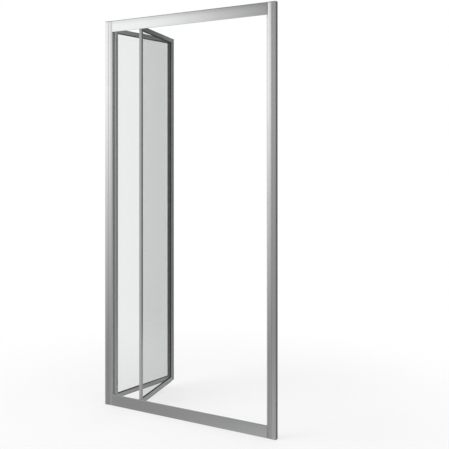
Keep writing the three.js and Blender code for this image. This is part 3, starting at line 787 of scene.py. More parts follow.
class SHOWER_DOOR_OT_header(bpy.types.Operator):
    """Build the header, with its front skirt and the guide channel that opens downwards"""

    bl_idname = "shower_door.header"
    bl_label = "Header"

    def execute(self, context):
        s = sizes()
        wall, r, q, slot = s.profile_wall, s.edge_radius, s.inner_radius, s.slot_half
        ends, (front, back), (bottom, top) = WORLD.extent("header_rail")
        half, floor, ceiling = channel_of("top")
        base = floor - s.channel_lip
        edge, skirt_back = front + s.front_bulge, front + s.front_wall
        outline = rounded([
            (back, top, r), *bowed_front(edge, top, bottom, s.header_edge_radius, s.front_edge_radius),
            (skirt_back, bottom, r), (skirt_back, base), (-slot, base, q), (-slot, floor),
            (-half, floor), (-half, ceiling), (half, ceiling), (half, floor), (slot, floor),
            (slot, base, q), (back, base, r),
        ])
        inside, back_inside, low = edge + wall, back - wall, base + wall
        chambers = [
            box_outline((inside, back_inside), (ceiling + wall, top - wall), q),
            box_outline((inside, -half - wall), (low, ceiling), q),
            box_outline((half + wall, back_inside), (low, ceiling), q),
        ]
        piece = run("header_profile", [outline, *chambers], ends, across_run(WORLD), aluminium(0))
        settled(piece, "frame", "bright_aluminium", "header_rail")
        return {"FINISHED"}


class SHOWER_DOOR_OT_threshold(bpy.types.Operator):
    """Build the threshold, with its upstand, guide channel and weep slots"""

    bl_idname = "shower_door.threshold"
    bl_label = "Threshold"

    def execute(self, context):
        s = sizes()
        wall, r, q, slot = s.profile_wall, s.edge_radius, s.inner_radius, s.slot_half
        ends, (front, back), (bottom, top) = WORLD.extent("threshold_rail")
        half, floor, ceiling = channel_of("bottom")
        base = ceiling + s.channel_lip
        back_height = base - s.threshold_fall
        edge, upstand_back = front + s.front_bulge, front + s.front_wall
        outline = rounded([
            (upstand_back, top, r), *bowed_front(edge, top, bottom, s.front_edge_radius, r),
            (back, bottom, r), (back, back_height, r), (half + wall, base, r), (slot, base, q),
            (slot, ceiling), (half, ceiling), (half, floor), (-half, floor), (-half, ceiling),
            (-slot, ceiling), (-slot, base, q), (upstand_back, base, r),
        ])
        inside = back - wall
        chambers = [
            box_outline((upstand_back, inside), (bottom + wall, floor - wall), q),
            box_outline((upstand_back, -half - wall), (floor, base - wall), q),
            rounded([(half + wall, floor, q), (inside, floor, q), (inside, back_height - wall, q),
                     (half + wall, base - wall, q)]),
        ]
        piece = run("threshold_profile", [outline, *chambers], ends, across_run(WORLD), aluminium(0))
        weeps = []
        for share in WEEP_SHARES:
            place = share * (ends[1] - ends[0])
            slot_outline = box_outline((place - WEEP_WIDTH / 2, place + WEEP_WIDTH / 2),
                                       (floor, floor + WEEP_HEIGHT), WEEP_HEIGHT * WEEP_ROUND_SHARE)
            weeps.append((slot_outline, (0, 2 * back), through_run(WORLD)))
        drilled(piece, *weeps)
        settled(piece, "frame", "bright_aluminium", "threshold_rail")
        return {"FINISHED"}


# The leaves: stiles, rails, glass and gaskets

def leaf_profile(outer, inner, half, pocket, groove=0):
    """A stile's or rail's section from its outer to its inner edge, and the chamber in it."""
    s = sizes()
    toward = 1 if inner > outer else -1
    wall, r, q, big = s.profile_wall, s.edge_radius, s.inner_radius, s.leaf_edge_radius
    floor = inner - toward * s.pocket_depth
    tongue = s.hinge_tongue / 2 + s.seat_gap
    slot = [(outer, tongue, q), (outer + toward * groove, tongue), (outer + toward * groove, -tongue),
            (outer, -tongue, q)] if groove else []
    outline = [(outer, -half, big), (inner, -half, r), (inner, -pocket, q), (floor, -pocket, q),
               (floor, pocket, q), (inner, pocket, q), (inner, half, r), (outer, half, big), *slot]
    near, far = outer + toward * (groove + wall), floor - toward * wall
    chamber = [(near, wall - half, q), (far, wall - half, q), (far, half - wall, q), (near, half - wall, q)]
    return [rounded(outline), rounded(chamber)]


def swapped(loops):
    return [[(v, u) for u, v in loop] for loop in loops]


def leaf_frame(letter):
    """A leaf's two stiles and two rails."""
    s = sizes()
    leaf = leaf_place(letter)
    first, fold = f"{LEAVES[letter]}_stile", f"fold_stile_{letter}"
    (outer, inner), (_, half), heights = leaf.extent(first)
    fold_inner, fold_outer = leaf.extent(fold)[0]
    pocket = leaf.extent(f"glass_{letter}")[1][1] + s.gasket_leg + 2 * s.seat_gap
    made = {first: run(f"{first}_profile", leaf_profile(outer, inner, half, pocket), heights,
                       leaf.world, aluminium())}
    fold_loops = leaf_profile(fold_outer, fold_inner, half, pocket, s.hinge_groove)
    made[fold] = run(f"fold_stile_profile_{letter}", fold_loops, heights, leaf.world, aluminium())
    for end in ENDS:
        rail = f"{end}_rail_{letter}"
        ends, _, (low, high) = leaf.extent(rail)
        outer, inner = (high, low) if end == "top" else (low, high)
        made[rail] = run(f"{end}_rail_profile_{letter}", swapped(leaf_profile(outer, inner, half, pocket)),
                         ends, across_run(leaf), aluminium(leaf.turn))
    for name, piece in made.items():
        settled(piece, f"leaf_{letter}", "bright_aluminium", name)


class SHOWER_DOOR_OT_leaf_frames(bpy.types.Operator):
    """Build the stiles and rails of both leaves"""

    bl_idname = "shower_door.leaf_frames"
    bl_label = "Leaf frames"

    def execute(self, context):
        for letter in LEAVES:
            leaf_frame(letter)
        return {"FINISHED"}


class SHOWER_DOOR_OT_glass(bpy.types.Operator):
    """Build the glass panes, with ground edges"""

    bl_idname = "shower_door.glass"
    bl_label = "Glass"

    def execute(self, context):
        for letter in LEAVES:
            leaf = leaf_place(letter)
            across, through, up = leaf.extent(f"glass_{letter}")
            piece = run(f"glass_pane_{letter}", [box_outline(across, through)], up, leaf.world, glass())
            softened(piece, sizes().glass_arris)
            settled(piece, f"leaf_{letter}", "clear_glass", f"glass_{letter}")
        return {"FINISHED"}


def gasket_section(edge, lip, back, glass_half, leg_outer, head_half):
    """A glazing gasket's section: a U round the glass's edge, with a sloping bead outside the pocket."""
    s = sizes()
    toward = 1 if lip > edge else -1
    shoulder = edge + toward * s.seat_gap
    floor = back + toward * s.gasket_back
    inner = glass_half + s.seat_gap
    tip = inner + s.gasket_leg / 2
    q = s.inner_radius
    one_side = [(shoulder, leg_outer), (shoulder, head_half, q), (lip, tip, q), (lip, inner)]
    return rounded([
        (back, -leg_outer, q), *[(u, -v, *rest) for u, v, *rest in one_side],
        (floor, -inner), (floor, inner), *reversed(one_side), (back, leg_outer, q),
    ])


class SHOWER_DOOR_OT_gaskets(bpy.types.Operator):
    """Build the gaskets between the glass and the leaves' profiles"""

    bl_idname = "shower_door.gaskets"
    bl_label = "Gaskets"

    def execute(self, context):
        for letter, first in LEAVES.items():
            leaf = leaf_place(letter)
            half = leaf.extent(f"{first}_stile")[1][1]
            glass_half = leaf.extent(f"glass_{letter}")[1][1]
            head_half = half - 2 * sizes().edge_radius
            strips = {f"gasket_{first}_side": (f"{first}_stile", 0, 1),
                      f"gasket_fold_side_{letter}": (f"fold_stile_{letter}", 0, 0),
                      f"gasket_top_{letter}": (f"top_rail_{letter}", 2, 0),
                      f"gasket_bottom_{letter}": (f"bottom_rail_{letter}", 2, 1)}
            for name, (profile, axis, high) in strips.items():
                reach = leaf.extent(name)
                edge = leaf.extent(profile)[axis][high]
                lip, back = reach[axis][high], reach[axis][1 - high]
                loops = [gasket_section(edge, lip, back, glass_half, reach[1][1], head_half)]
                if axis == 0:
                    run_of = loops, reach[2], leaf.world
                else:
                    run_of = swapped(loops), reach[0], across_run(leaf)
                piece = run(f"{name}_strip", *run_of, moulded("gasket"))
                settled(piece, f"leaf_{letter}", "grey_gasket", name)
        return {"FINISHED"}


# The fold hinge

def new_tree(name, **inputs):
    """An empty Geometry Nodes tree, with the kinds of its inputs after the geometry and the material."""
    tree = bpy.data.node_groups.new(name, "GeometryNodeTree")
    for label, kind in {"Geometry": "Geometry", "Material": "Material", **inputs}.items():
        tree.interface.new_socket(label, in_out="INPUT", socket_type="NodeSocket" + kind)
    tree.interface.new_socket("Geometry", in_out="OUTPUT", socket_type="NodeSocketGeometry")
    return tree, tree.nodes.new("NodeGroupInput").outputs


def end_tree(tree, given, copies):
    """The copies become real faces in the given material."""
    real = node(tree, "GeometryNodeRealizeInstances", Geometry=copies).outputs[0]
    coloured = node(tree, "GeometryNodeSetMaterial", Geometry=real, Material=given["Material"]).outputs[0]
    tree.links.new(coloured, tree.nodes.new("NodeGroupOutput").inputs[0])
    return tree


def repeated_tree(name):
    """Repeats a piece upwards at even steps."""
    tree, given = new_tree(name, Count="Int", Step="Float")
    step = node(tree, "ShaderNodeCombineXYZ", Z=given["Step"]).outputs[0]
    points = node(tree, "GeometryNodeMeshLine", Count=given["Count"], Offset=step).outputs[0]
    copies = node(tree, "GeometryNodeInstanceOnPoints", Points=points, Instance=given["Geometry"]).outputs[0]
    return end_tree(tree, given, copies)


def with_nodes(piece, name, **values):
    """The piece after a Geometry Nodes tree, as a plain mesh."""
    modifier = piece.modifiers.new("Nodes", "NODES")
    tree = modifier.node_group = shared_tree(name)
    for socket in tree.interface.items_tree:
        if socket.in_out == "INPUT" and socket.name in values:
            modifier[socket.identifier] = values[socket.name]
    return baked(piece)


def fold_hinge(letter, first_knuckle):
    """Half of the fold hinge: a moulded body with a hollow for the other half's knuckles, and its own."""
    s = sizes()
    leaf = leaf_place(letter)
    (_, stile_end), (_, half), heights = leaf.extent(f"fold_stile_{letter}")
    start = stile_end + s.seat_gap
    tongue_end = leaf.extent(f"fold_hinge_{letter}")[0][0]
    link = joint_place("fold_hinge") - leaf.origin.xy
    axis = (link.dot(leaf.across.xy), -s.fold_offset)
    fold_gap = s.fold_offset - half
    end = axis[0] - fold_gap / 2
    hollow = s.knuckle_radius + fold_gap / 2
    face_turn = math.pi - math.asin((axis[1] + half) / -hollow)
    end_turn = math.pi - math.acos((axis[0] - end) / hollow)
    tongue, r, q = s.hinge_tongue / 2, s.plastic_radius, s.inner_radius
    inner_steps = counts().corner_steps * 2
    body_outline = rounded([
        (start, -half, q), *arc(axis, hollow, face_turn, end_turn, inner_steps),
        (end, half, r), (start, half, q), (start, tongue), (tongue_end, tongue, q),
        (tongue_end, -tongue, q), (start, -tongue),
    ])
    body = run("hinge_body", [body_outline], heights, leaf.world, moulded("dark_plastic"))
    low, high = leaf.extent("fold_hinge_pin")[2]
    pitch = (high - low) / counts().knuckle_count
    own = range(first_knuckle, counts().knuckle_count, 2)
    barrel = arc(axis, s.knuckle_radius, face_turn - math.tau, end_turn, counts().round_steps)
    web = arc(axis, hollow + q, end_turn, face_turn, inner_steps)
    bore = circle(axis, s.pin_radius + s.seat_gap)
    foot = low + own[0] * pitch
    knuckle = run("hinge_knuckles", [barrel + web, bore],
                  (foot + s.knuckle_gap / 2, foot + pitch - s.knuckle_gap / 2), leaf.world,
                  moulded("dark_plastic"))
    with_nodes(knuckle, "Repeat upwards", Count=len(own), Step=2 * pitch, Material=moulded("dark_plastic"))
    piece = merged(f"fold_hinge_half_{letter}", [body, knuckle])
    return settled(piece, f"leaf_{letter}", "dark_plastic", f"fold_hinge_{letter}")


class SHOWER_DOOR_OT_fold_hinge(bpy.types.Operator):
    """Build both halves of the fold hinge and its pin"""

    bl_idname = "shower_door.fold_hinge"
    bl_label = "Fold hinge"

    def execute(self, context):
        s = sizes()
        fold_hinge("a", 0)
        fold_hinge("b", 1)
        low, high = WORLD.extent("fold_hinge_pin")[2]
        dome = s.pin_radius / 4
        mesh = bmesh.new()
        turned(mesh, [(0, low), (s.pin_radius - dome, low), (s.pin_radius, low + dome),
                      (s.pin_radius, high - dome), (s.pin_radius - dome, high), (0, high)],
               Place(joint_place("fold_hinge")).world)
        pin = finished(mesh, "fold_hinge_rod", steel())
        settled(pin, "leaf_a", "stainless_steel", "fold_hinge_pin")
        return {"FINISHED"}


# Pivots and guides

def axis_pin(letter, end):
    """A pivot or guide pin on its plate, with the plug that fills the stile's end."""
    s = sizes()
    gap, wall = s.seat_gap, s.profile_wall
    leaf = leaf_place(letter)
    first = LEAVES[letter]
    name = f"{first}_pin_{end}"
    (outer, inner), (_, half), (leaf_low, leaf_high) = leaf.extent(f"{first}_stile")
    (plate_back, plate_front), _, (low, high) = leaf.extent(name)
    out = 1 if end == "top" else -1
    stile_end, plug_end, tip = (leaf_high, low, high) if end == "top" else (leaf_low, high, low)
    plate_near = stile_end + out * gap
    plate_far = plate_near + out * s.pin_plate
    plug_half = half - wall - gap
    plug_outline = box_outline((outer + wall + gap, inner - s.pocket_depth - wall - gap),
                               (-plug_half, plug_half), s.plastic_radius)
    plug = run("pin_plug", [plug_outline], (plug_end, middle((plate_near, plate_far))), leaf.world,
               steel())
    plate_half = half - wall
    plate_outline = box_outline((plate_back, plate_front), (-plate_half, plate_half), s.leaf_edge_radius)
    plate = run("pin_plate", [plate_outline], (plate_near, plate_far), leaf.world, steel())
    mesh = bmesh.new()
    radius, chamfer = s.axis_pin_radius, s.axis_pin_radius / 4
    turned(mesh, [(0, plate_near), (radius, plate_near), (radius, tip - out * chamfer),
                  (radius - chamfer, tip), (0, tip)], leaf.world)
    pin = finished(mesh, "pin", steel())
    piece = merged(f"{first}_axle_{end}", [plug, plate, pin])
    return settled(piece, f"leaf_{letter}", "stainless_steel", name)


def pivot_block(end):
    """The fixed block in a guide channel that a hinge pin turns in."""
    s = sizes()
    across, through, up = WORLD.extent(f"pivot_block_{end}")
    outline = box_outline(across, through, s.leaf_edge_radius)
    piece = run(f"pivot_bearing_{end}", [outline], up, WORLD.world, moulded("dark_plastic"))
    softened(piece, s.plastic_radius)
    pin_low, pin_high = WORLD.extent(f"hinge_pin_{end}")[2]
    bore_ends = (up[0] - s.profile_wall, pin_high + s.slide_gap) if end == "top" else (
        pin_low - s.slide_gap, up[1] + s.profile_wall)
    drilled(piece, *bores([joint_place("leaf_a_swing")], s.axis_pin_radius + s.seat_gap, bore_ends,
                          WORLD.world))
    return settled(piece, "frame", "dark_plastic", f"pivot_block_{end}")


def guide_shoe(end):
    """The shoe that slides in a guide channel and carries the leading leaf's pin."""
    s = sizes()
    across, through, up = WORLD.extent(f"guide_shoe_{end}")
    outline = box_outline(across, through, 2 * s.leaf_edge_radius, 2 * counts().corner_steps)
    piece = run(f"guide_slider_{end}", [outline], up, WORLD.world, moulded("grey_plastic"))
    softened(piece, s.plastic_radius)
    drilled(piece, *bores([joint_place("guide_top_pivot")], s.axis_pin_radius + s.seat_gap,
                          (up[0] - s.profile_wall, up[1] + s.profile_wall), WORLD.world))
    return settled(piece, f"guide_{end}", "grey_plastic", f"guide_shoe_{end}")


class SHOWER_DOOR_OT_pivots(bpy.types.Operator):
    """Build the pins, pivot blocks and guide shoes"""

    bl_idname = "shower_door.pivots"
    bl_label = "Pivots and guides"

    def execute(self, context):
        for end in ENDS:
            pivot_block(end)
            guide_shoe(end)
            for letter in LEAVES:
                axis_pin(letter, end)
        return {"FINISHED"}


# Seals, magnet strip and strike

SEAL_CORNER_STEPS = 2
STRIKE_RECESS = 0.0012


def side_seal():
    """The bubble seal on the left jamb's inner face: a flat back with two round beads."""
    q = sizes().inner_radius
    steps = counts().round_steps // 2
    (back, crest), (start, end), heights = WORLD.extent("side_seal_left")
    bead = (crest - back) / 2
    web = back + bead
    beads = []
    for centre in (start + bead, end - bead):
        beads += arc((web, centre), bead, -math.pi / 2, math.pi / 2, steps)
    outline = rounded([(back, start, q), *beads, (back, end, q)], SEAL_CORNER_STEPS)
    piece = run("side_bubble_seal", [outline], heights, WORLD.world, moulded("side_seal"))
    return settled(piece, "frame", "grey_gasket", "side_seal_left")


def drip_seal(letter):
    """The wiper under a leaf's bottom rail: a carrier with two thin fins."""
    q = sizes().inner_radius
    leaf = leaf_place(letter)
    ends, (near, far), (low, high) = leaf.extent(f"drip_seal_{letter}")
    carrier = middle((middle((low, high)), high))
    fin = (far - near) / 4
    outline = rounded([
        (near, high, q), (near, low), (near + fin / 2, low), (near + fin, carrier),
        (far - fin, carrier), (far - fin / 2, low), (far, low), (far, high, q),
    ])
    piece = run(f"drip_wiper_{letter}", [outline], ends, across_run(leaf), moulded("gasket"))
    return settled(piece, f"leaf_{letter}", "grey_gasket", f"drip_seal_{letter}")


def magnet_strip():
    """The magnet strip on the leading leaf, with two fine grooves in its face."""
    s = sizes()
    leaf = leaf_place("b")
    (face, back), (near, far), heights = leaf.extent("magnet_strip")
    r, groove, third = s.edge_radius, s.key_groove, (far - near) / 3
    marks = []
    for place in (near + third, far - third):
        marks += [(face, place - groove), (face + groove, place), (face, place + groove)]
    outline = rounded([(back, near, r), (face, near, r), *marks, (face, far, r), (back, far, r)])
    piece = run("magnet_strip_profile", [outline], heights, leaf.world, moulded("magnet"))
    return settled(piece, "leaf_b", "magnet_grey", "magnet_strip")


def strike():
    """The strike on the right jamb, with the recess for the steel face that the magnet meets."""
    s = sizes()
    (face, back), (near, far), heights = WORLD.extent("strike_profile")
    lip, r, q = s.profile_wall, s.plastic_radius, s.inner_radius
    floor = face + STRIKE_RECESS
    outline = rounded([
        (back, near, r), (back, far, r), (face, far, r), (face, far - lip, q), (floor, far - lip, q),
        (floor, near + lip, q), (face, near + lip, q), (face, near, r),
    ])
    piece = run("strike_channel", [outline], heights, WORLD.world, moulded("strike"))
    return settled(piece, "frame", "grey_plastic", "strike_profile")


class SHOWER_DOOR_OT_seals(bpy.types.Operator):
    """Build the seals, the magnet strip and the strike"""

    bl_idname = "shower_door.seals"
    bl_label = "Seals and strike"

    def execute(self, context):
        side_seal()
        for letter in LEAVES:
            drip_seal(letter)
        magnet_strip()
        strike()
        return {"FINISHED"}


# Screws and corner blocks

DOME_STEPS = 5
LOW_HEAD_SHARE = 1.5
SLOT_SHARES = (0.55, 0.14)


def facing_tree(name):
    """Puts a copy of a screw on each point, turned the way that the point faces."""
    tree, given = new_tree(name, Screw="Object")
    screw = node(tree, "GeometryNodeObjectInfo", Object=given["Screw"]).outputs["Geometry"]
    facing = tree.nodes.new("GeometryNodeInputNamedAttribute")
    facing.data_type = "FLOAT_VECTOR"
    facing.inputs["Name"].default_value = "facing"
    turn = node(tree, "FunctionNodeAlignRotationToVector", {"axis": "Z"},
                Vector=facing.outputs["Attribute"]).outputs[0]
    copies = node(tree, "GeometryNodeInstanceOnPoints", Points=given["Geometry"], Instance=screw,
                  Rotation=turn).outputs[0]
    return end_tree(tree, given, copies)


TREE_MAKERS = {
    "Die lines": die_lines_group,
    "Soft marks": soft_marks_group,
    "Moulded grain": moulded_grain_group,
    "Repeat upwards": repeated_tree,
    "Screws on points": facing_tree,
}


def pan_head_screw(head_radius, head_height, shank_radius, shank_length, rise):
    """One screw on the origin, with a domed head above Z = 0, a cross slot and a pointed shank."""
    lip = head_radius - rise
    mesh = bmesh.new()
    dome = [(math.sin(turn) * lip, head_height - rise + math.cos(turn) * rise)
            for turn in (math.pi / 2 * (1 - step / DOME_STEPS) for step in range(1, DOME_STEPS))]
    turned(mesh, [(0, -shank_length), (shank_radius, shank_radius - shank_length), (shank_radius, 0),
                  (head_radius, 0), (head_radius, head_height - rise), *dome, (0, head_height)],
           WORLD.world)
    piece = finished(mesh, "screw", steel())
    arm, width = ((-head_radius * share, head_radius * share) for share in SLOT_SHARES)
    for slot in (box_outline(arm, width), box_outline(width, arm)):
        drilled(piece, (slot, (head_height / 2, head_height * 2), WORLD.world))
    return piece


def screws(name, screw, places, facings, body, nodes):
    """A row of screws as one piece."""
    data = bpy.data.meshes.new(name)
    data.from_pydata(places, [], [])
    attribute = data.attributes.new("facing", "FLOAT_VECTOR", "POINT")
    attribute.data.foreach_set("vector", [value for facing in facings for value in facing])
    piece = with_nodes(placed(name, data), "Screws on points", Screw=screw, Material=steel())
    return settled(shaded(piece), body, "stainless_steel", *nodes)


class SHOWER_DOOR_OT_screws(bpy.types.Operator):
    """Build the screws of the frame and of the leaves' corners"""

    bl_idname = "shower_door.screws"
    bl_label = "Screws"

    def execute(self, context):
        s = sizes()
        shank = s.screw_hole_radius - s.seat_gap
        low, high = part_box("lock_screw_top_left")
        head = (high.z - low.z) / 2
        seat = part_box("wall_profile_left")[1].y + s.seat_gap
        lock = pan_head_screw(head, high.y - seat, shank, seat - low.y, s.screw_rise)
        for side in SIDES:
            names = [f"lock_screw_{row}_{side}" for row in ROWS]
            places = [Vector((node_middle(name).x, seat, node_middle(name).z)) for name in names]
            screws(f"lock_screws_{side}", lock, places, [(0, 1, 0)] * 3, "frame", names)
        bpy.data.objects.remove(lock)
        low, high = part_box("corner_screw_top_left")
        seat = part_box("jamb_right")[0].x + s.profile_wall + s.seat_gap
        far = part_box("corner_screw_top_right")
        corner = pan_head_screw(head, far[1].x - seat, shank, seat - far[0].x, s.screw_rise)
        for side, sign in (("left", -1), ("right", 1)):
            names = [f"corner_screw_{end}_{side}" for end in ENDS]
            places = [Vector((sign * seat, node_middle(name).y, node_middle(name).z)) for name in names]
            screws(f"corner_screws_{side}", corner, places, [(sign, 0, 0)] * 2, "frame", names)
        bpy.data.objects.remove(corner)
        for end in ENDS:
            for side in SIDES:
                carried_over(f"corner_block_{end}_{side}", moulded("dark_plastic"))
        self.leaf_screws()
        return {"FINISHED"}

    def leaf_screws(self):
        """The low screws that draw the hinge stile onto its rails."""
        s = sizes()
        leaf = leaf_place("a")
        outer = leaf.extent("hinge_stile")[0][0]
        wall = s.profile_wall
        screw = pan_head_screw(s.leaf_screw_radius, s.leaf_screw_rise * LOW_HEAD_SHARE, wall / 2, wall,
                               s.leaf_screw_rise)
        places = []
        for end in ENDS:
            low, high = leaf.extent(f"{end}_rail_a")[2]
            quarter = (high - low) / 4
            places += [leaf.world(outer, 0, height) for height in (low + quarter, high - quarter)]
        screws("leaf_corner_screws", screw, places, [-leaf.across] * 4, "leaf_a", [])
        bpy.data.objects.remove(screw)


# The stage
# The studio wall stands round the door. A turn is in degrees, 0 in front of the door and 90 on its left.
# A range gives two turns or heights, the values at them, and whether it runs smoothly between.
STUDIO_RADIUS, STUDIO_FOOT, STUDIO_TOP, STUDIO_SIDES = 2.3, -2.5, 4.5, 96
WHITE_STARTS, WHITE_ENDS = (12, 37, 0, 1), (50, 58, 1, 0, True)
WHITE_BY_HEIGHT, WHITE_LEAST = (-0.66, 1.62, 0.424, 1), 0.26
GREY_BY_HEIGHT = (-0.9, -0.2, 0.4, 0.28)
DARK_RIGHT, DARK_LEFT = (-110, -75, 1, 0, True), (105, 140, 0, 1, True)
DARK_BEHIND = (130, 172, 0.15, 0.08)
PALER_AT_SIDES, PALER_STRAIGHT_BEHIND = (128, 138, 0.09, 0), (175, 178.5, 0, 0.34)
LOW_BEHIND, LOW_BEHIND_TONE = (-0.45, 0, 1, 0, True), 0.3
POST_SIDE_TURN, CLEAR_OF_POST_SIDE = -146, (6, 12, 0, 1)
CEILING, CEILING_TONE = (2.3, 3, 0, 1, True), 0.2
GROUND, GROUND_TONE = (-1.6, -1.2, 1, 0, True), 0.4

FLOOR_PAPER = 0.95
FLOOR_WHITENS = (0.7, 2, 0.65, 1, True)
WORLD_LIGHT = 0.8
KEY_SIZE = 2.5
KEY_PLACE = (-2.6, -3, 3.4)
KEY_AIM = (0, 0, 0.9)
SENSOR_WIDTH = 36


def bare_material(name):
    material = bpy.data.materials.new(name)
    material.use_nodes = True
    material.node_tree.nodes.clear()
    return material, material.node_tree


def by_mirror(tree, direct, mirrored):
    """The material's surface: one for rays that metal has mirrored, and one for all others."""
    depth = node(tree, "ShaderNodeLightPath").outputs["Glossy Depth"]
    mixed = node(tree, "ShaderNodeMixShader", i0=maths(tree, "MINIMUM", depth, 1), i1=direct, i2=mirrored)
    tree.links.new(mixed.outputs[0], node(tree, "ShaderNodeOutputMaterial").inputs["Surface"])


def ray_is(tree, *kinds):
    """1 for rays of these kinds and 0 for others."""
    outputs = node(tree, "ShaderNodeLightPath").outputs
    share = 0
    for kind in kinds:
        share = maths(tree, "MAXIMUM", share, outputs[f"Is {kind} Ray"])
    return share


def blended(tree, share, first, second):
    return node(tree, "ShaderNodeMix", i0=share, i2=first, i3=second).outputs[0]


def studio_wall_material():
    """A wall that is white on the left, grey in front and dark behind, and that only metal shows."""
    material, tree = bare_material("Studio wall")
    place = node(tree, "ShaderNodeTexCoord").outputs["Object"]
    x, y, z = node(tree, "ShaderNodeSeparateXYZ", Vector=place).outputs
    around = maths(tree, "ARCTAN2", maths(tree, "MULTIPLY", x, -1), maths(tree, "MULTIPLY", y, -1))
    around = maths(tree, "MULTIPLY", around, 180 / math.pi)
    turned_back = maths(tree, "ABSOLUTE", around)
    dark = maths(tree, "ADD", ranged(tree, turned_back, *DARK_BEHIND),
                 ranged(tree, turned_back, *PALER_STRAIGHT_BEHIND))
    dark = maths(tree, "ADD", dark, ranged(tree, turned_back, *PALER_AT_SIDES))
    off_post = maths(tree, "ABSOLUTE", maths(tree, "SUBTRACT", around, POST_SIDE_TURN))
    low = maths(tree, "MULTIPLY", ranged(tree, z, *LOW_BEHIND), ranged(tree, off_post, *CLEAR_OF_POST_SIDE))
    dark = blended(tree, low, dark, LOW_BEHIND_TONE)
    dark_side = maths(tree, "MAXIMUM", ranged(tree, around, *DARK_RIGHT), ranged(tree, around, *DARK_LEFT))
    tone = blended(tree, dark_side, ranged(tree, z, *GREY_BY_HEIGHT), dark)
    white_side = maths(tree, "MULTIPLY", ranged(tree, around, *WHITE_STARTS),
                       ranged(tree, around, *WHITE_ENDS))
    white = maths(tree, "POWER", ranged(tree, z, *WHITE_BY_HEIGHT), 2)
    tone = blended(tree, white_side, tone, maths(tree, "MAXIMUM", white, WHITE_LEAST))
    tone = blended(tree, ranged(tree, z, *CEILING), tone, CEILING_TONE)
    tone = blended(tree, ranged(tree, z, *GROUND), tone, GROUND_TONE)
    clear = node(tree, "ShaderNodeBsdfTransparent").outputs[0]
    by_mirror(tree, clear, node(tree, "ShaderNodeEmission", Strength=tone).outputs[0])
    return material


def floor_material():
    """Pale paper that turns white away from the door, and that no mirrored ray meets."""
    material, tree = bare_material("Pale floor")
    paper = node(tree, "ShaderNodeBsdfDiffuse", Color=(FLOOR_PAPER, FLOOR_PAPER, FLOOR_PAPER, 1))
    white = node(tree, "ShaderNodeEmission", Strength=1.0)
    place = node(tree, "ShaderNodeTexCoord").outputs["Object"]
    away = node(tree, "ShaderNodeVectorMath", {"operation": "LENGTH"}, i0=place).outputs["Value"]
    share = maths(tree, "MULTIPLY", ray_is(tree, "Camera", "Transmission"),
                  ranged(tree, away, *FLOOR_WHITENS))
    mixed = node(tree, "ShaderNodeMixShader", i0=share, i1=paper.outputs[0], i2=white.outputs[0])
    by_mirror(tree, mixed.outputs[0], node(tree, "ShaderNodeBsdfTransparent").outputs[0])
    return material


def only_seen_by(piece, **kinds):
    for kind in ("camera", "diffuse", "glossy", "transmission", "shadow", "volume_scatter"):
        setattr(piece, f"visible_{kind}", kinds.get(kind, False))


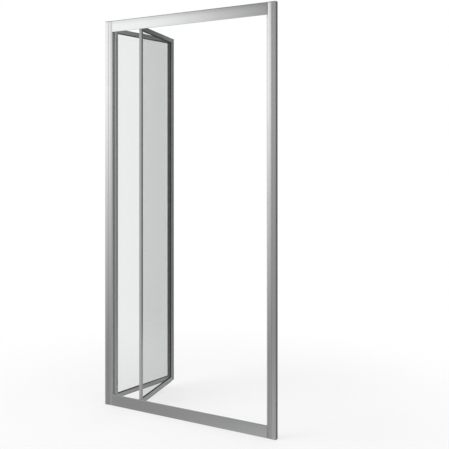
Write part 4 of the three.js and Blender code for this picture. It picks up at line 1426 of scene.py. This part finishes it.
class SHOWER_DOOR_OT_stage(bpy.types.Operator):
    """Build the floor, the studio wall, the light and the camera"""

    bl_idname = "shower_door.stage"
    bl_label = "Stage"

    def execute(self, context):
        stage = context.scene.door_stage
        context.scene.view_settings.view_transform = "Standard"
        self.floor(stage)
        self.studio_wall()
        self.world(context)
        self.key_light(stage)
        self.camera(context, stage)
        return {"FINISHED"}

    def floor(self, stage):
        half = stage.floor_size / 2
        data = bpy.data.meshes.new("floor")
        data.from_pydata([(-half, -half, 0), (half, -half, 0), (half, half, 0), (-half, half, 0)], [],
                         [(0, 1, 2, 3)])
        data.materials.append(floor_material())
        floor = placed("floor", data)
        floor.visible_glossy = False

    def studio_wall(self):
        mesh = bmesh.new()
        outline = [(0, STUDIO_FOOT), (STUDIO_RADIUS, STUDIO_FOOT), (STUDIO_RADIUS, STUDIO_TOP),
                   (0, STUDIO_TOP)]
        turned(mesh, outline, WORLD.world, STUDIO_SIDES)
        wall = built(mesh, "studio_wall", studio_wall_material())
        only_seen_by(wall, glossy=True, transmission=True)

    def world(self, context):
        world = bpy.data.worlds.new("Studio")
        world.use_nodes = True
        tree = world.node_tree
        shown = ray_is(tree, "Camera", "Transmission", "Glossy")
        background = tree.nodes["Background"].inputs
        background["Color"].default_value = (1, 1, 1, 1)
        tree.links.new(ranged(tree, shown, 0, 1, WORLD_LIGHT, 1), background["Strength"])
        context.scene.world = world

    def key_light(self, stage):
        lamp = bpy.data.lights.new("key", "AREA")
        lamp.size = KEY_SIZE
        lamp.energy = stage.key_power
        key = placed("key", lamp)
        key.location = KEY_PLACE
        key.rotation_euler = (Vector(KEY_AIM) - key.location).to_track_quat("-Z", "Y").to_euler()
        key.visible_glossy = False

    def camera(self, context, stage):
        lens = bpy.data.cameras.new("camera")
        lens.lens = stage.focal_length
        lens.sensor_width = SENSOR_WIDTH
        lens.shift_x, lens.shift_y = stage.shift
        camera = placed("camera", lens)
        camera.location = stage.camera_place
        camera.rotation_euler = (math.pi / 2, 0, stage.camera_turn)
        context.scene.camera = camera


PIECE_OPERATORS = (
    SHOWER_DOOR_OT_posts, SHOWER_DOOR_OT_header, SHOWER_DOOR_OT_threshold, SHOWER_DOOR_OT_leaf_frames,
    SHOWER_DOOR_OT_glass, SHOWER_DOOR_OT_gaskets, SHOWER_DOOR_OT_fold_hinge, SHOWER_DOOR_OT_pivots,
    SHOWER_DOOR_OT_seals, SHOWER_DOOR_OT_screws, SHOWER_DOOR_OT_stage,
)


class SHOWER_DOOR_PT_panel(bpy.types.Panel):
    """The door's operators and values in the sidebar"""

    bl_label = "Bi-fold shower door"
    bl_idname = "SHOWER_DOOR_PT_panel"
    bl_space_type = "VIEW_3D"
    bl_region_type = "UI"
    bl_category = "Door"

    def draw(self, context):
        column = self.layout.column()
        for operator in PIECE_OPERATORS:
            column.operator(operator.bl_idname)
        for group in (context.scene.door_sizes, context.scene.door_counts, context.scene.door_colours,
                      context.scene.door_stage):
            for name in group.__annotations__:
                column.prop(group, name)


CLASSES = (DoorSizes, DoorCounts, DoorColours, StageSizes, *PIECE_OPERATORS, SHOWER_DOOR_PT_panel)
GROUPS = {"door_sizes": DoorSizes, "door_counts": DoorCounts, "door_colours": DoorColours,
          "door_stage": StageSizes}


def register():
    for cls in CLASSES:
        bpy.utils.register_class(cls)
    for name, group in GROUPS.items():
        setattr(bpy.types.Scene, name, PointerProperty(type=group))


def unregister():
    for name in GROUPS:
        delattr(bpy.types.Scene, name)
    for cls in reversed(CLASSES):
        bpy.utils.unregister_class(cls)


def main():
    register()
    for operator in PIECE_OPERATORS:
        category, name = operator.bl_idname.split(".")
        getattr(getattr(bpy.ops, category), name)()


if __name__ == "__main__":
    main()
